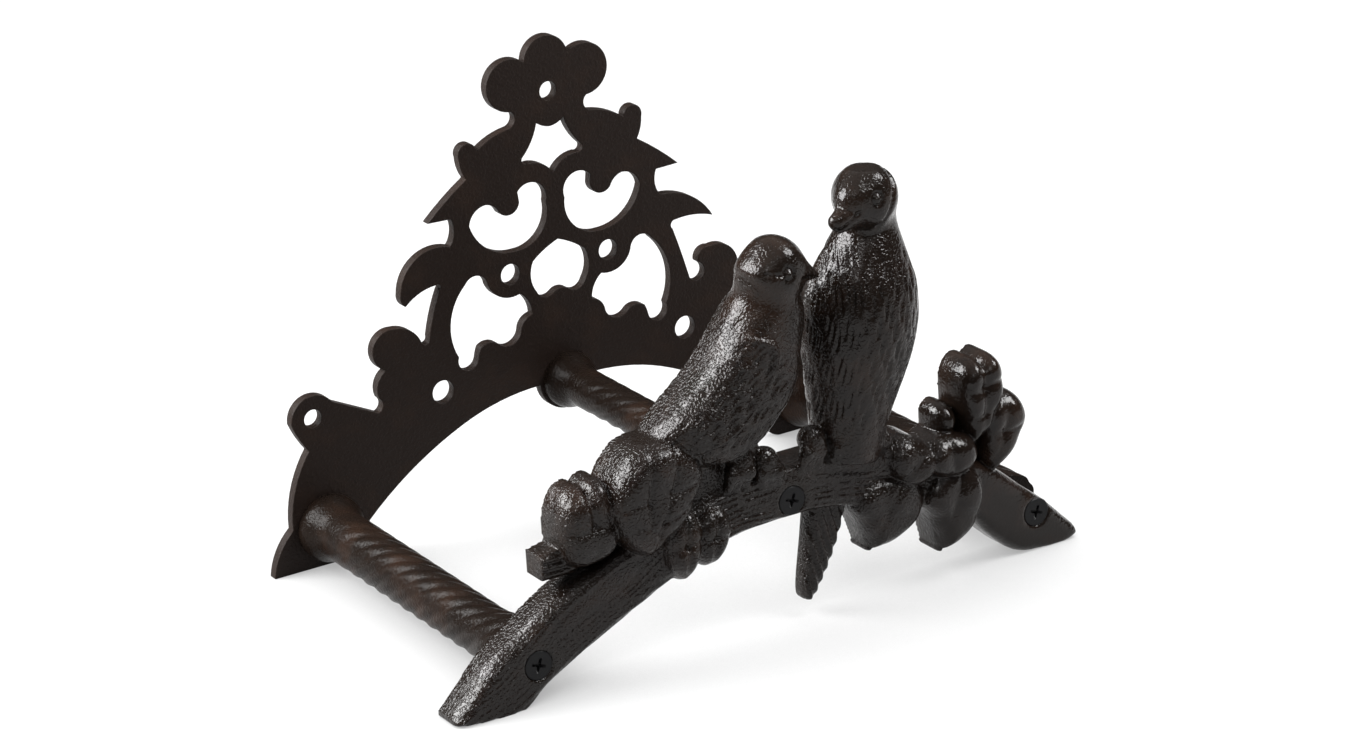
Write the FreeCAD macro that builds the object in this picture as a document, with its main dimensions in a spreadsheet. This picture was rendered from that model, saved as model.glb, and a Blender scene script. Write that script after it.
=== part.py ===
import FreeCAD, Part
import math
import os

from FreeCAD import Placement, Rotation, Vector

# Wall-mounted garden hose hanger in painted cast iron, in millimetres.
# The wall is the plane Y = 0 and the hanger stands out from it towards -Y, with +Z up and +X to the right
# as it is seen from the front. The origin is the middle of the top fixing hole, on the wall.

SIZES = (
    ("bar_spacing", 225, "between the axes of the two side bars"),
    ("side_bar_drop", 157, "side bar axes below the top fixing hole"),
    ("top_bar_drop", 122, "middle bar axis below the top fixing hole"),
    ("bar_length", 150, "from the wall plate to the front casting"),
    ("side_bar_dia", 21, "over the ridges of a side bar"),
    ("top_bar_dia", 16.5, "over the ridges of the middle bar"),
    ("rope_depth", 0.9, "depth of the twisted grooves"),
    ("rope_lead", 64, "length of one whole turn of the twist"),
    ("rope_fade", 22, "length over which the twist comes up out of the plain end"),
    ("collar_rim", 3.5, "how far a bar's collar stands out round the bar"),
    ("collar_edge", 2.5, "thickness of the collar's rim"),
    ("collar_length", 13, "collar and flare together"),
    ("plate_thick", 4.5, "wall plate"),
    ("foot_height", 16, "side bar axes above the level of the feet"),
    ("foot_reach", 25.5, "feet of the wall plate outside the side bars"),
    ("boss_rim", 4.5, "round boss of the wall plate outside the middle bar"),
    ("fixing_hole_dia", 7.5, "the three holes for wall screws"),
    ("ear_rise", 46.5, "ear holes above the side bar axes"),
    ("ear_out", 2.7, "ear holes outside the side bar axes"),
    ("ear_radius", 10, "round of the ears about their holes"),
    ("upper_piercing_dia", 8.5, "the two upper small piercings"),
    ("lower_piercing_dia", 9.5, "the two lower small piercings"),
    ("screw_dia", 6, "assembly screws"),
    ("screw_head_dia", 11.4, "countersunk heads"),
    ("screw_grip", 16, "screw thread held in a bar"),
    ("hole_clearance", 0.6, "screw holes over the screws, on diameter"),
    ("head_sink", 0.4, "screw heads below the face they sit in"),
    ("branch_depth", 16, "front casting's branch, back to front"),
    ("branch_bevel", 3, "bevel of the branch's front edges"),
    ("tall_width", 45, "tall bird's body, across"),
    ("tall_axis_depth", 7.5, "middle of the tall bird's round body in front of the back face"),
    ("tall_head_dia", 26, "tall bird's head"),
    ("tall_beak_length", 10.5, "tall bird's beak"),
    ("small_crown", 25, "small bird's side in front of the back face"),
    ("small_round", 36, "radius of the small bird's side"),
    ("small_head_dia", 28.5, "small bird's head"),
    ("small_beak_length", 11, "small bird's beak"),
    ("wing_lift", 1.8, "wing above the small bird's side"),
    ("eye_dia", 4, "eyes of both birds"),
    ("toe_lift", 3.5, "birds' toes in front of the branch"),
    ("tail_back", 4, "back of the tall bird's tail in front of the casting's back face"),
    ("tail_thick", 8, "tall bird's tail"),
    ("stub_depth", 12, "cut twig beside the left leaves"),
)

# The scroll work of the wall plate is drawn on squared paper: this many squares from bar to bar, and this
# many from the top fixing hole down to the middle bar.
SQUARES_ACROSS = 225.0
SQUARES_DOWN = 122.0
HEAD_ANGLE = 90.0
ROPE_STARTS = 6

doc = FreeCAD.newDocument("hose_hanger")


def make_sheet():
    """The driving dimensions, one row each: name, value, meaning."""
    table = doc.addObject("Spreadsheet::Sheet", "Sizes")
    for row, (alias, value, meaning) in enumerate(SIZES, start=1):
        table.set(f"A{row}", alias)
        table.set(f"B{row}", str(value))
        table.setAlias(f"B{row}", alias)
        table.set(f"C{row}", meaning)
    doc.recompute()
    return table


sheet = make_sheet()


def size(alias):
    return float(sheet.get(alias))


def bind(obj, **expressions):
    """Tie properties to the sheet; x, y and z stand for the placement's base."""
    for name, text in expressions.items():
        path = f"Placement.Base.{name}" if name in ("x", "y", "z") else name
        obj.setExpression(path, text)
    return obj


half_spacing = size("bar_spacing") / 2
side_z = -size("side_bar_drop")
top_z = -size("top_bar_drop")
floor_z = side_z - size("foot_height")
front_y = -size("plate_thick") - size("bar_length")
bar_places = (
    ("left_bar", -half_spacing, side_z, "side_bar_dia"),
    ("centre_bar", 0.0, top_z, "top_bar_dia"),
    ("right_bar", half_spacing, side_z, "side_bar_dia"),
)


def on_wall(x, z):
    return Vector(x, z, 0)


def strokes(start, path):
    """Closed outline: a stroke of one point is a line to it, and one of two is an arc through the first."""
    here = Vector(*start, 0)
    geometry = []
    for stroke in path:
        end = Vector(*stroke[-1], 0)
        if len(stroke) == 2:
            geometry.append(Part.Arc(here, Vector(*stroke[0], 0), end))
        else:
            geometry.append(Part.LineSegment(here, end))
        here = end
    return geometry


def shifted(start, path, origin):
    """The same outline, measured from a place of its own."""
    ox, oz = origin
    moved = [[(x + ox, z + oz) for x, z in stroke] for stroke in path]
    return (start[0] + ox, start[1] + oz), moved


def reversed_half(start, path):
    """A right-hand half outline, mirrored to the left and run the other way, from its end to its start."""
    ends = [start] + [stroke[-1] for stroke in path]
    back = []
    for index in range(len(path) - 1, -1, -1):
        middle = path[index][:-1]
        back.append([(-x, z) for x, z in [*middle, ends[index]]])
    return back


# Wall plate


def grid(x, z):
    """A point of the squared paper, in millimetres."""
    return x * size("bar_spacing") / SQUARES_ACROSS, z * size("top_bar_drop") / SQUARES_DOWN


def drawn(path):
    return [[grid(x, z) for x, z in stroke] for stroke in path]


FLOWER_TOP = (0, 22.8)
FLOWER = (
    [(6.6, 20.3), (10, 13.8)],
    [(27.6, 7.5), (17.4, -5.3)],
    [(15.9, -8.2), (18.8, -11.8)],
    [(26.6, -13.8), (33.9, -17.9)],
    [(38.5, -13.9), (42.2, -19.5)],
    [(41.4, -24.5), (39.6, -28.4)],
    [(49, -35.0), (58.2, -42.8)],
    [(47.6, -43.2)],
    [(46.7, -48.5), (48.9, -54.2)],
)
RIGHT_LEAF = (
    [(63.5, -58.2), (73.4, -68.6)],
    [(63, -66.3), (55.2, -66.6)],
    [(53.3, -67.8), (53.9, -70.2)],
    [(57.2, -80.5), (60.4, -91.8)],
    [(65, -94.9), (67.9, -91.4)],
    [(67.2, -89), (64.9, -87.2)],
    [(66.3, -82.9), (71.5, -81.6)],
    [(81.5, -84.6), (81.8, -98.6)],
)
LEFT_LEAF = (
    [(66.5, -57.3), (72.6, -69.5)],
    [(72.3, -72.6), (70.6, -74.6)],
    [(63, -70), (56.6, -68.8)],
    [(54.6, -69.4), (55, -71)],
    [(58.6, -80), (61.2, -89.6)],
    [(63.1, -92.2), (65, -90.2)],
    [(69.5, -84.6), (77, -82.2)],
    [(86.3, -87.4), (81.8, -98.6)],
)
NOTCH = ([(86, -104.3), (85.6, -109.6)], [(84.2, -112.4), (86.5, -115.4)])
CROWN = (
    [(3.6, -13.9), (6.2, -12.2)],
    [(9.2, -19.5), (13.8, -25.3)],
    [(13.6, -27.3), (11.2, -27.8)],
    [(4.6, -29.6), (0, -34)],
)
CROWN_TOP = (0, -14.8)
KIDNEY_START = (16.9, -38.6)
KIDNEY = (
    [(10.4, -36), (4.4, -45.5)],
    [(8, -58.2), (19.5, -62.8)],
    [(32.6, -58.6), (39.6, -48)],
    [(37.4, -43.4), (31.6, -40.9)],
    [(28.6, -42), (25.8, -45.4)],
    [(20, -47.2), (16.4, -42.6)],
    [(16.9, -38.6)],
)
MIDDLE_TOP = (0, -62.2)
MIDDLE = (
    [(6.2, -65), (12, -69)],
    [(13.4, -76.5), (11.2, -82.2)],
    [(7.2, -85.3), (3.6, -84.2)],
    [(1.8, -83.2), (0, -82.9)],
)
LEAF_CUT_START = (33.4, -74.2)
LEAF_CUT = (
    [(37.6, -69.2), (43.4, -71.6)],
    [(51.4, -88.6), (48.6, -101.2)],
    [(44, -107.6), (40, -103.8)],
    [(39.2, -101), (38.6, -99.6)],
    [(34.6, -98.2), (30.6, -99.6)],
    [(25.6, -101.8), (19.9, -97.4)],
    [(19, -94.4), (14, -91)],
    [(15.6, -85), (19, -81.2)],
    [(27.4, -80.8), (33.4, -74.2)],
)
UPPER_PIERCING = (22.8, -72)
LOWER_PIERCING = (57, -113.8)


def ear_and_foot():
    """Right-hand stroke list from the notch beside the ear, round the ear and down to the foot's heel."""
    hole_x = half_spacing + size("ear_out")
    hole_z = side_z + size("ear_rise")
    radius = size("ear_radius")
    waist = (half_spacing + 5.8, side_z + 33.5)
    hip = (half_spacing + 15.8, side_z + 2.2)
    toe = (half_spacing + size("foot_reach"), floor_z)
    lean = radius * math.sqrt(0.5)
    return (
        [(hole_x - 0.9 * radius, hole_z + 0.5 * radius)],
        [(hole_x + 0.3 * lean, hole_z + 1.3 * lean), (hole_x + 0.95 * radius, hole_z - 0.1 * radius)],
        [(hole_x + 0.6 * radius, hole_z - 0.85 * radius), waist],
        [(half_spacing + 14, side_z + 16.5), hip],
        [(half_spacing + 22.2, side_z - 5.8), toe],
        [(half_spacing - 12, floor_z)],
        [(half_spacing - 18.6, side_z - 11), (half_spacing - 18, side_z - 2.5)],
    )


def arch():
    """Underside of the wall plate from a foot's heel to the middle of the arch."""
    side_drop = side_z - top_z
    shoulder = (0.44 * half_spacing, top_z + 0.23 * side_drop)
    flank = (0.62 * half_spacing, top_z + 0.53 * side_drop)
    return (
        [flank, shoulder],
        [(0.3 * half_spacing, top_z + 0.08 * side_drop), (0.0, top_z + 0.03 * side_drop)],
    )


def plate_outline():
    flower = drawn(FLOWER)
    tail = [*drawn(NOTCH), *ear_and_foot(), *arch()]
    right = [*flower, *drawn(RIGHT_LEAF), *tail]
    left = [*flower, *drawn(LEFT_LEAF), *tail]
    start = grid(*FLOWER_TOP)
    return strokes(start, [*right, *reversed_half(start, left)])


def symmetric_cut(top, path):
    start = grid(*top)
    half = drawn(path)
    return strokes(start, [*half, *reversed_half(start, half)])


def paired_cuts(start, path):
    right = strokes(grid(*start), drawn(path))
    left = [[(-x, z) for x, z in stroke] for stroke in drawn(path)]
    x, z = grid(*start)
    return [*right, *strokes((-x, z), left)]


def plane_of(body, role):
    return next(item for item in body.Origin.OriginFeatures if item.Role == role)


def wall_sketch(body, name):
    sketch = body.newObject("Sketcher::SketchObject", name)
    sketch.AttachmentSupport = [(plane_of(body, "XZ_Plane"), "")]
    sketch.MapMode = "FlatFace"
    return sketch


def circle(x, z, diameter):
    return Part.Circle(on_wall(x, z), Vector(0, 0, 1), diameter / 2)


def make_wall_plate():
    body = doc.addObject("PartDesign::Body", "scroll_plate")
    scroll = wall_sketch(body, "scroll_work")
    scroll.addGeometry(plate_outline(), False)
    scroll.addGeometry(symmetric_cut(CROWN_TOP, CROWN), False)
    scroll.addGeometry(symmetric_cut(MIDDLE_TOP, MIDDLE), False)
    scroll.addGeometry(paired_cuts(KIDNEY_START, KIDNEY), False)
    scroll.addGeometry(paired_cuts(LEAF_CUT_START, LEAF_CUT), False)
    plate = body.newObject("PartDesign::Pad", "plate")
    plate.Profile = scroll
    bind(plate, Length="Sizes.plate_thick")

    boss_sketch = wall_sketch(body, "boss_circle")
    boss_sketch.addGeometry(circle(0, top_z, size("top_bar_dia") + 2 * size("boss_rim")), False)
    boss = body.newObject("PartDesign::Pad", "boss")
    boss.Profile = boss_sketch
    bind(boss, Length="Sizes.plate_thick")
    doc.recompute()

    ear_x = half_spacing + size("ear_out")
    ear_z = side_z + size("ear_rise")
    holes = [(0, 0, size("fixing_hole_dia"))]
    for side in (-1, 1):
        upper_x, upper_z = grid(*UPPER_PIERCING)
        lower_x, lower_z = grid(*LOWER_PIERCING)
        holes.append((side * ear_x, ear_z, size("fixing_hole_dia")))
        holes.append((side * upper_x, upper_z, size("upper_piercing_dia")))
        holes.append((side * lower_x, lower_z, size("lower_piercing_dia")))
    hole_sketch = wall_sketch(body, "round_holes")
    hole_sketch.addGeometry([circle(*hole) for hole in holes], False)
    pierced = body.newObject("PartDesign::Pocket", "round_piercings")
    pierced.Profile = hole_sketch
    pierced.Type = "ThroughAll"
    pierced.Midplane = True
    doc.recompute()
    return body


# Screws and the holes that take them


def screw_profile(head_at, tip_at):
    """Half section of a countersunk screw that points along +X of the section, turned about that line."""
    head = size("screw_head_dia") / 2
    shank = size("screw_dia") / 2
    neck_at = head_at + (head - shank) / math.tan(math.radians(HEAD_ANGLE / 2))
    corners = [(head_at, 0), (head_at, head), (neck_at, shank), (tip_at, shank), (tip_at, 0)]
    return [Vector(0, along, out) for along, out in corners]


def screw_solid(head_at, tip_at):
    points = screw_profile(head_at, tip_at)
    face = Part.Face(Part.makePolygon([*points, points[0]]))
    return face.revolve(Vector(0, 0, 0), Vector(0, 1, 0), 360)


def screw_hole(face_at, through):
    """Clearance hole with a countersink that leaves the head just below the face."""
    spare = size("hole_clearance") / 2
    shank = size("screw_dia") / 2 + spare
    mouth = size("screw_head_dia") / 2 + spare + size("head_sink")
    beyond = 1.0
    slope = math.tan(math.radians(HEAD_ANGLE / 2))
    corners = [
        (face_at - beyond, 0),
        (face_at - beyond, mouth + beyond * slope),
        (face_at + (mouth - shank) / slope, shank),
        (through, shank),
        (through, 0),
    ]
    points = [Vector(0, along, out) for along, out in corners]
    face = Part.Face(Part.makePolygon([*points, points[0]]))
    return face.revolve(Vector(0, 0, 0), Vector(0, 1, 0), 360)


def at_bars(solid):
    copies = []
    for _, x, z, _ in bar_places:
        copy = solid.copy()
        copy.translate(Vector(x, 0, z))
        copies.append(copy)
    return copies


def add_feature(name, shape, place=Placement()):
    feature = doc.addObject("Part::Feature", name)
    feature.Shape = shape
    feature.Placement = place
    return feature


def make_screws():
    sink = size("head_sink")
    grip = size("screw_grip")
    front = screw_solid(sink, size("branch_depth") + grip)
    rear = screw_solid(sink, size("plate_thick") + grip)
    rear.rotate(Vector(0, 0, 0), Vector(0, 0, 1), 180)
    front_place = Placement(Vector(0, front_y - size("branch_depth"), 0), Rotation())
    front_set = add_feature("front_screws", Part.makeCompound(at_bars(front)), front_place)
    rear_set = add_feature("rear_screws", Part.makeCompound(at_bars(rear)))
    return front_set, rear_set


# Twisted bars


def ring(along, crest, valley, turn):
    """Corners of a bar's section at one place along it: ridge and groove by turns."""
    corners = []
    count = 2 * ROPE_STARTS
    for index in range(count):
        radius = crest if index % 2 == 0 else valley
        angle = 2 * math.pi * index / count - turn
        corners.append(Vector(radius * math.cos(angle), -along, radius * math.sin(angle)))
    return corners


def bar_rings(radius):
    """Sections from the wall plate outwards: rim, flare, and then the left-handed twist."""
    rim = radius + size("collar_rim")
    edge = size("collar_edge")
    foot = size("collar_length")
    length = size("bar_length")
    bend = edge + 0.35 * (foot - edge)
    neck = radius + 0.3 * size("collar_rim")
    rings = [ring(along, out, out, 0) for along, out in ((0, rim), (edge, rim), (bend, neck))]
    lead = size("rope_lead")
    steps = max(4, round(2 * ROPE_STARTS * (length - foot) / lead))
    for step in range(steps + 1):
        along = foot + (length - foot) * step / steps
        depth = size("rope_depth") * min(1.0, (along - foot) / size("rope_fade"))
        turn = 2 * math.pi * (along - foot) / lead
        rings.append(ring(along, radius, radius - depth, turn))
    return rings


def faceted(rings):
    """Closed solid in flat facets between rings of corners."""
    faces = []
    for here, ahead in zip(rings, rings[1:]):
        for index, corner in enumerate(here):
            after = (index + 1) % len(here)
            for second, third in ((here[after], ahead[after]), (ahead[after], ahead[index])):
                faces.append(Part.Face(Part.makePolygon([corner, second, third, corner])))
    for cap in (rings[0], rings[-1]):
        faces.append(Part.Face(Part.makePolygon([*cap, cap[0]])))
    return closed(faces)


def closed(faces):
    solid = Part.Solid(Part.Shell(faces))
    if solid.Volume < 0:
        solid.reverse()
    return solid


def make_bar(name, x, z, diameter):
    length = size("bar_length")
    grip = size("screw_grip")
    bar = faceted(bar_rings(size(diameter) / 2))
    for end in (-grip, -length):
        bar = bar.cut(Part.makeCylinder(size("screw_dia") / 2, grip, Vector(0, end, 0), Vector(0, 1, 0)))
    return add_feature(name, bar, Placement(Vector(x, -size("plate_thick"), z), Rotation()))


# Front casting: branch, birds and leaves in deep relief on a flat back


def relief_sketch(name, geometry):
    """An outline on the flat back of the front casting, ready to be drawn out towards the front."""
    sketch = doc.addObject("Sketcher::SketchObject", name)
    sketch.Placement = Placement(Vector(0, 0, 0), Rotation(Vector(1, 0, 0), 90))
    sketch.addGeometry(geometry, False)
    return sketch


def drawn_out(name, geometry, length):
    block = doc.addObject("Part::Extrusion", name)
    block.Base = relief_sketch(f"{name}_outline", geometry)
    block.DirMode = "Custom"
    block.Dir = Vector(0, -1, 0)
    block.Solid = True
    bind(block, LengthFwd=length)
    return block


def common(name, *shapes):
    both = doc.addObject("Part::MultiCommon", name)
    both.Shapes = list(shapes)
    return both


def from_top_bar(rise):
    return f"{rise} - Sizes.top_bar_drop"


def domed(name, geometry, crown):
    """An outline drawn out from the back and rounded over by a large solid."""
    block = drawn_out(f"{name}_block", geometry, "3 * Sizes.branch_depth")
    return common(name, block, crown)


def branch_stations():
    """Lower and upper edge of the arched branch, as pairs of points from the left tip to the right one."""
    left = (-half_spacing, side_z)
    right = (half_spacing, side_z)
    top = (0.0, top_z)
    left_slope = ((left[0] + top[0]) / 2, (left[1] + top[1]) / 2)
    right_slope = ((right[0] + top[0]) / 2, (right[1] + top[1]) / 2)
    foot = -size("foot_height")
    return (
        (left, (-33.5, foot + 0.5), (-34.5, foot + 3.5)),
        (left, (-27, foot - 1), (-27, -5)),
        (left, (-9, foot - 0.5), (-17, 4)),
        (left, (4.5, -5), (-6, 11)),
        (left, (22, 9), (13, 23)),
        (left_slope, (-6, 3), (-11, 18.5)),
        (top, (-30, -6.8), (-33, 11)),
        (top, (0, -6.4), (0, 13.2)),
        (top, (26, -9.6), (30, 12)),
        (right_slope, (2, -1.5), (10, 21)),
        (right, (-32, 5.5), (-20.5, 25)),
        (right, (-20.5, -5.5), (-6.5, 13)),
        (right, (-9.5, foot + 1.5), (4.5, 2.5)),
        (right, (1.5, foot - 1), (12.5, -5.5)),
        (right, (11.5, foot - 0.5), (17.5, -10.5)),
        (right, (17.5, foot + 1), (19.5, foot + 2.8)),
    )


def branch_section(anchor, lower, upper):
    """Flat back, straight walls and bevelled front edges, between two edge points."""
    low = Vector(anchor[0] + lower[0], 0, anchor[1] + lower[1])
    high = Vector(anchor[0] + upper[0], 0, anchor[1] + upper[1])
    across = high - low
    bevel = min(size("branch_bevel"), across.Length / 4)
    depth = size("branch_depth")
    inset = across.normalize() * bevel
    forward = Vector(0, -1, 0)
    corners = (
        low,
        low + forward * (depth - bevel),
        low + inset + forward * depth,
        high - inset + forward * depth,
        high + forward * (depth - bevel),
        high,
    )
    return corners


def make_branch():
    sections = [branch_section(*station) for station in branch_stations()]
    return add_feature("branch", faceted(sections))


# Bird outlines, measured from the axis of the middle bar

SMALL_HEAD = (-2.2, 11, 91.1)
SMALL_NAPE = (-12, SMALL_HEAD[2] - 9.1)
SMALL_THROAT = (7, SMALL_HEAD[2] - 11.1)
SMALL_BODY = (
    SMALL_NAPE,
    (
        [(-33, 59), (-56, 38)],
        [(-48, 25)],
        [(-20, 25), (0, 42)],
        [(6, 61), SMALL_THROAT],
        [SMALL_NAPE],
    ),
)
SMALL_LEGS = ((-48, 28), ([(-14, 30)], [(-9, 10)], [(-46, 8)], [(-48, 28)]))
SMALL_WING = (
    (-20, 67),
    (
        [(-9, 66), (-8, 57)],
        [(-24, 40), (-50, 35)],
        [(-37, 52), (-20, 67)],
    ),
)
TALL_BASE = (29.6, 10)
TALL_LEAN = 9.0
TALL_PROFILE = ((0, 0.6), (12, 0.69), (26, 0.82), (42, 0.96), (56, 1.0), (68, 0.92))
SMALL_MIDDLE = (-19.8, 45.2)
SMALL_LEAN = 47.4
TOE = ((-6, -1), (-5, 4), (0, 5.5), (5, 4), (6, -1), (3.5, -5), (-3.5, -5))
SMALL_TOES = ((-20, 16), (-11, 13))

# Measured from the foot of the tall bird's axis
TALL_HEAD = (10.6, 12, 99)
TALL_TOES = ((-18.1, 7), (-5.1, 6), (7.9, 3))
TALL_TAIL = (
    (-17.1, -12),
    (
        [(-20.6, -32), (-23.1, -50)],
        [(-21.6, -54.5), (-18.1, -51)],
        [(-10.1, -35), (-4.6, -17)],
        [(-17.1, -12)],
    ),
)
FACET_COUNT = 16

# Measured from the middle of each bird's head; the neck's rows are depths under it and shares of the widest
TALL_NECK = ((20, 0.74), (8, 0.47))
TALL_BEAK = (-9.2, 6, -1.2)
TALL_EYE = (-3.2, 12.9, 4.6)
SMALL_BEAK = (7.2, 5, -0.1)
SMALL_EYE = (-0.8, 14, 3.5)

# Leaves, measured from the branch under each cluster: corners round the leaf, depth of the rim, the two ends
# of the midrib, and depth of the midrib

LEFT_LEAVES = {
    "left_lobed_leaf": (
        ((-25, 9), (-27.5, 18), (-27, 27), (-23.5, 33.5), (-19.5, 35), (-17, 32.5), (-13.5, 36), (-9.5, 33.5),
         (-7, 13), (-16, 7)),
        12, ((-19, 13), (-18, 26)), 19,
    ),
    "left_broad_leaf": (
        ((-8.5, 25), (-5, 36), (2, 44), (10, 46), (19, 44.5), (26, 38), (28, 31), (22, 20), (13, 12), (4, 7),
         (-4, 14)),
        16, ((4, 17), (17, 36)), 23,
    ),
    "left_small_leaf": (
        ((13, 4), (15, 13), (20, 17.5), (25, 15.5), (27, 6), (25, -2), (20, -7.8), (15.5, -3)),
        17, ((20, -1), (21, 10)), 22,
    ),
    "left_end_leaf": (
        ((26, 7), (29, 13), (34, 15.5), (39, 12.5), (40.5, 5), (37.5, -1), (31, -5.5), (27.5, 0)),
        16, ((32, 0), (35, 10)), 21,
    ),
}
RIGHT_LEAVES = {
    "right_upper_leaf": (
        ((1, 24), (0, 34), (1.5, 42), (5.5, 46), (9, 46), (10.5, 44), (15, 46.8), (19, 43), (21, 34), (18, 24),
         (11, 15), (4, 12)),
        13, ((8, 20), (10, 38)), 20,
    ),
    "right_side_leaf": (
        ((12, 10), (14, 25), (21.5, 29), (28.5, 25), (31, 15), (25, 6), (15, -3)),
        12, ((16, 8), (22, 20)), 19,
    ),
    "right_bud": (
        ((-9.5, 23.5), (-8.5, 28), (-5.5, 30), (-1.5, 28.5), (0, 23.5), (-2, 18), (-5.5, 16.5), (-8.5, 19)),
        9, ((-6, 22), (-4, 25)), 15,
    ),
    "right_pointed_leaf": (
        ((-49.5, 0), (-48, -8), (-44, -18.3), (-35, -17), (-27, -11), (-21.5, -3), (-22, 4), (-28, 9), (-40, 9.5),
         (-46, 6)),
        14, ((-42, -11), (-31, 3)), 20,
    ),
    "right_hanging_leaf": (
        ((-19, -5), (-17, -14), (-12.5, -26.8), (-4, -25.5), (4, -20), (8, -10), (7, 0), (0, 6), (-11, 5)),
        16, ((-10, -19), (-3, -1)), 22,
    ),
    "right_inner_leaf": (
        ((-34, 15), (-31, 21), (-24, 22.5), (-16, 17), (-13, 9), (-20, 3), (-29, 5)),
        16, ((-27, 10), (-20, 15)), 22,
    ),
    "right_middle_leaf": (
        ((-18, 11), (-13, 17.5), (-6, 19), (3, 16.5), (6, 9), (-1, 2.5), (-11, 3.5)),
        17, ((-11, 9), (-1, 12)), 23,
    ),
}
LEFT_STUB = ((-36.5, 13.5), ([(-24, 16)], [(-22, 4)], [(-36.5, 4)], [(-36.5, 13.5)]))


def leaf_solid(outline, rim, rib, crown):
    """Upright walls round a leaf, and facets that rise from its rim to a midrib."""
    back = [Vector(x, 0, z) for x, z in outline]
    edge = [Vector(x, -rim, z) for x, z in outline]
    root, tip = [Vector(x, -crown, z) for x, z in rib]
    along = tip - root
    middle = (root + tip) * 0.5
    ends = [tip if (corner - middle).dot(along) > 0 else root for corner in edge]
    faces = [Part.Face(Part.makePolygon([*back, back[0]]))]
    for index, corner in enumerate(edge):
        after = (index + 1) % len(edge)
        faces.append(Part.Face(Part.makePolygon([back[index], back[after], edge[after], corner, back[index]])))
        faces.append(Part.Face(Part.makePolygon([corner, edge[after], ends[after], corner])))
        if ends[index] != ends[after]:
            faces.append(Part.Face(Part.makePolygon([corner, ends[after], ends[index], corner])))
    return closed(faces)


def make_leaves():
    slope = top_z - side_z
    left_origin = (-0.62 * half_spacing, top_z - 0.26 * slope)
    right_origin = (0.69 * half_spacing, top_z - 0.32 * slope)
    leaves = []
    for (x, z), cluster in ((left_origin, LEFT_LEAVES), (right_origin, RIGHT_LEAVES)):
        for name, leaf in cluster.items():
            leaves.append(add_feature(name, leaf_solid(*leaf), Placement(Vector(x, 0, z), Rotation())))
    stub = drawn_out("cut_twig", strokes(*shifted(*LEFT_STUB, left_origin)), "Sizes.stub_depth")
    return [*leaves, stub]


def turned(profile, corners):
    """Solid turned about an upright axis, in flat facets, from heights and radii that run upwards."""
    rings = []
    for height, radius in profile:
        angles = [2 * math.pi * index / corners for index in range(corners)]
        rings.append([Vector(radius * math.cos(a), radius * math.sin(a), height) for a in angles])
    return faceted(rings)


def make_head(name, x, depth, rise, diameter):
    radius = size(diameter) / 2
    profile = [(radius * math.sin(a), radius * math.cos(a)) for a in map(math.radians, range(-75, 76, 25))]
    place = Placement(Vector(x, -depth, top_z + rise), Rotation())
    return add_feature(name, turned(profile, FACET_COUNT), place)


def make_beak(name, base, tip_direction, base_radius, length):
    profile = ((0, base_radius), (0.6 * size(length), 0.7 * base_radius), (size(length), 0.2 * base_radius))
    x, depth, rise = base
    place = Placement(Vector(x, -depth, top_z + rise), Rotation(Vector(0, 0, 1), tip_direction))
    return add_feature(name, turned(profile, FACET_COUNT // 2), place)


def make_eye(name, x, depth, rise):
    """A short pin that stands out of the side of a head."""
    eye = doc.addObject("Part::Cylinder", name)
    eye.Placement = Placement(Vector(0, 0, 0), Rotation(Vector(0, 0, 1), Vector(0, 1, 0)))
    bind(eye, Radius="Sizes.eye_dia / 2", Height="2 * Sizes.eye_dia")
    return bind(eye, x=str(x), y=f"-{depth}", z=from_top_bar(rise))


def make_tall_body():
    """Barrel of a body turned about its own leaning axis."""
    widest = size("tall_width") / 2
    neck = [(TALL_HEAD[2] - under, share) for under, share in TALL_NECK]
    profile = [(height, share * widest) for height, share in (*TALL_PROFILE, *neck)]
    x, rise = TALL_BASE
    lean = Rotation(Vector(0, 1, 0), TALL_LEAN)
    place = Placement(Vector(x, -size("tall_axis_depth"), top_z + rise), lean)
    return add_feature("tall_body", turned(profile, FACET_COUNT), place)


def make_roller(name, lift):
    """Long round solid that leans with the small bird and rounds over its side."""
    roller = doc.addObject("Part::Cylinder", name)
    lean = Rotation(Vector(0, 1, 0), SMALL_LEAN)
    half = 80
    reach = lean.multVec(Vector(0, 0, -half))
    roller.Placement = Placement(Vector(0, 0, 0), lean)
    radius = f"Sizes.small_round + {lift}"
    bind(roller, Radius=radius, Height=str(2 * half), y="Sizes.small_round - Sizes.small_crown")
    return bind(roller, x=str(SMALL_MIDDLE[0] + reach.x), z=from_top_bar(SMALL_MIDDLE[1] + reach.z))


def from_tall_base(place):
    x, depth, rise = place
    return x + TALL_BASE[0], depth, rise + TALL_BASE[1]


def from_head(head, place):
    return tuple(middle + offset for middle, offset in zip(head, place))


def make_tail():
    foot = (TALL_BASE[0], top_z + TALL_BASE[1])
    tail = drawn_out("tall_tail", strokes(*shifted(*TALL_TAIL, foot)), "Sizes.tail_thick")
    return bind(tail, y="-Sizes.tail_back")


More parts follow.
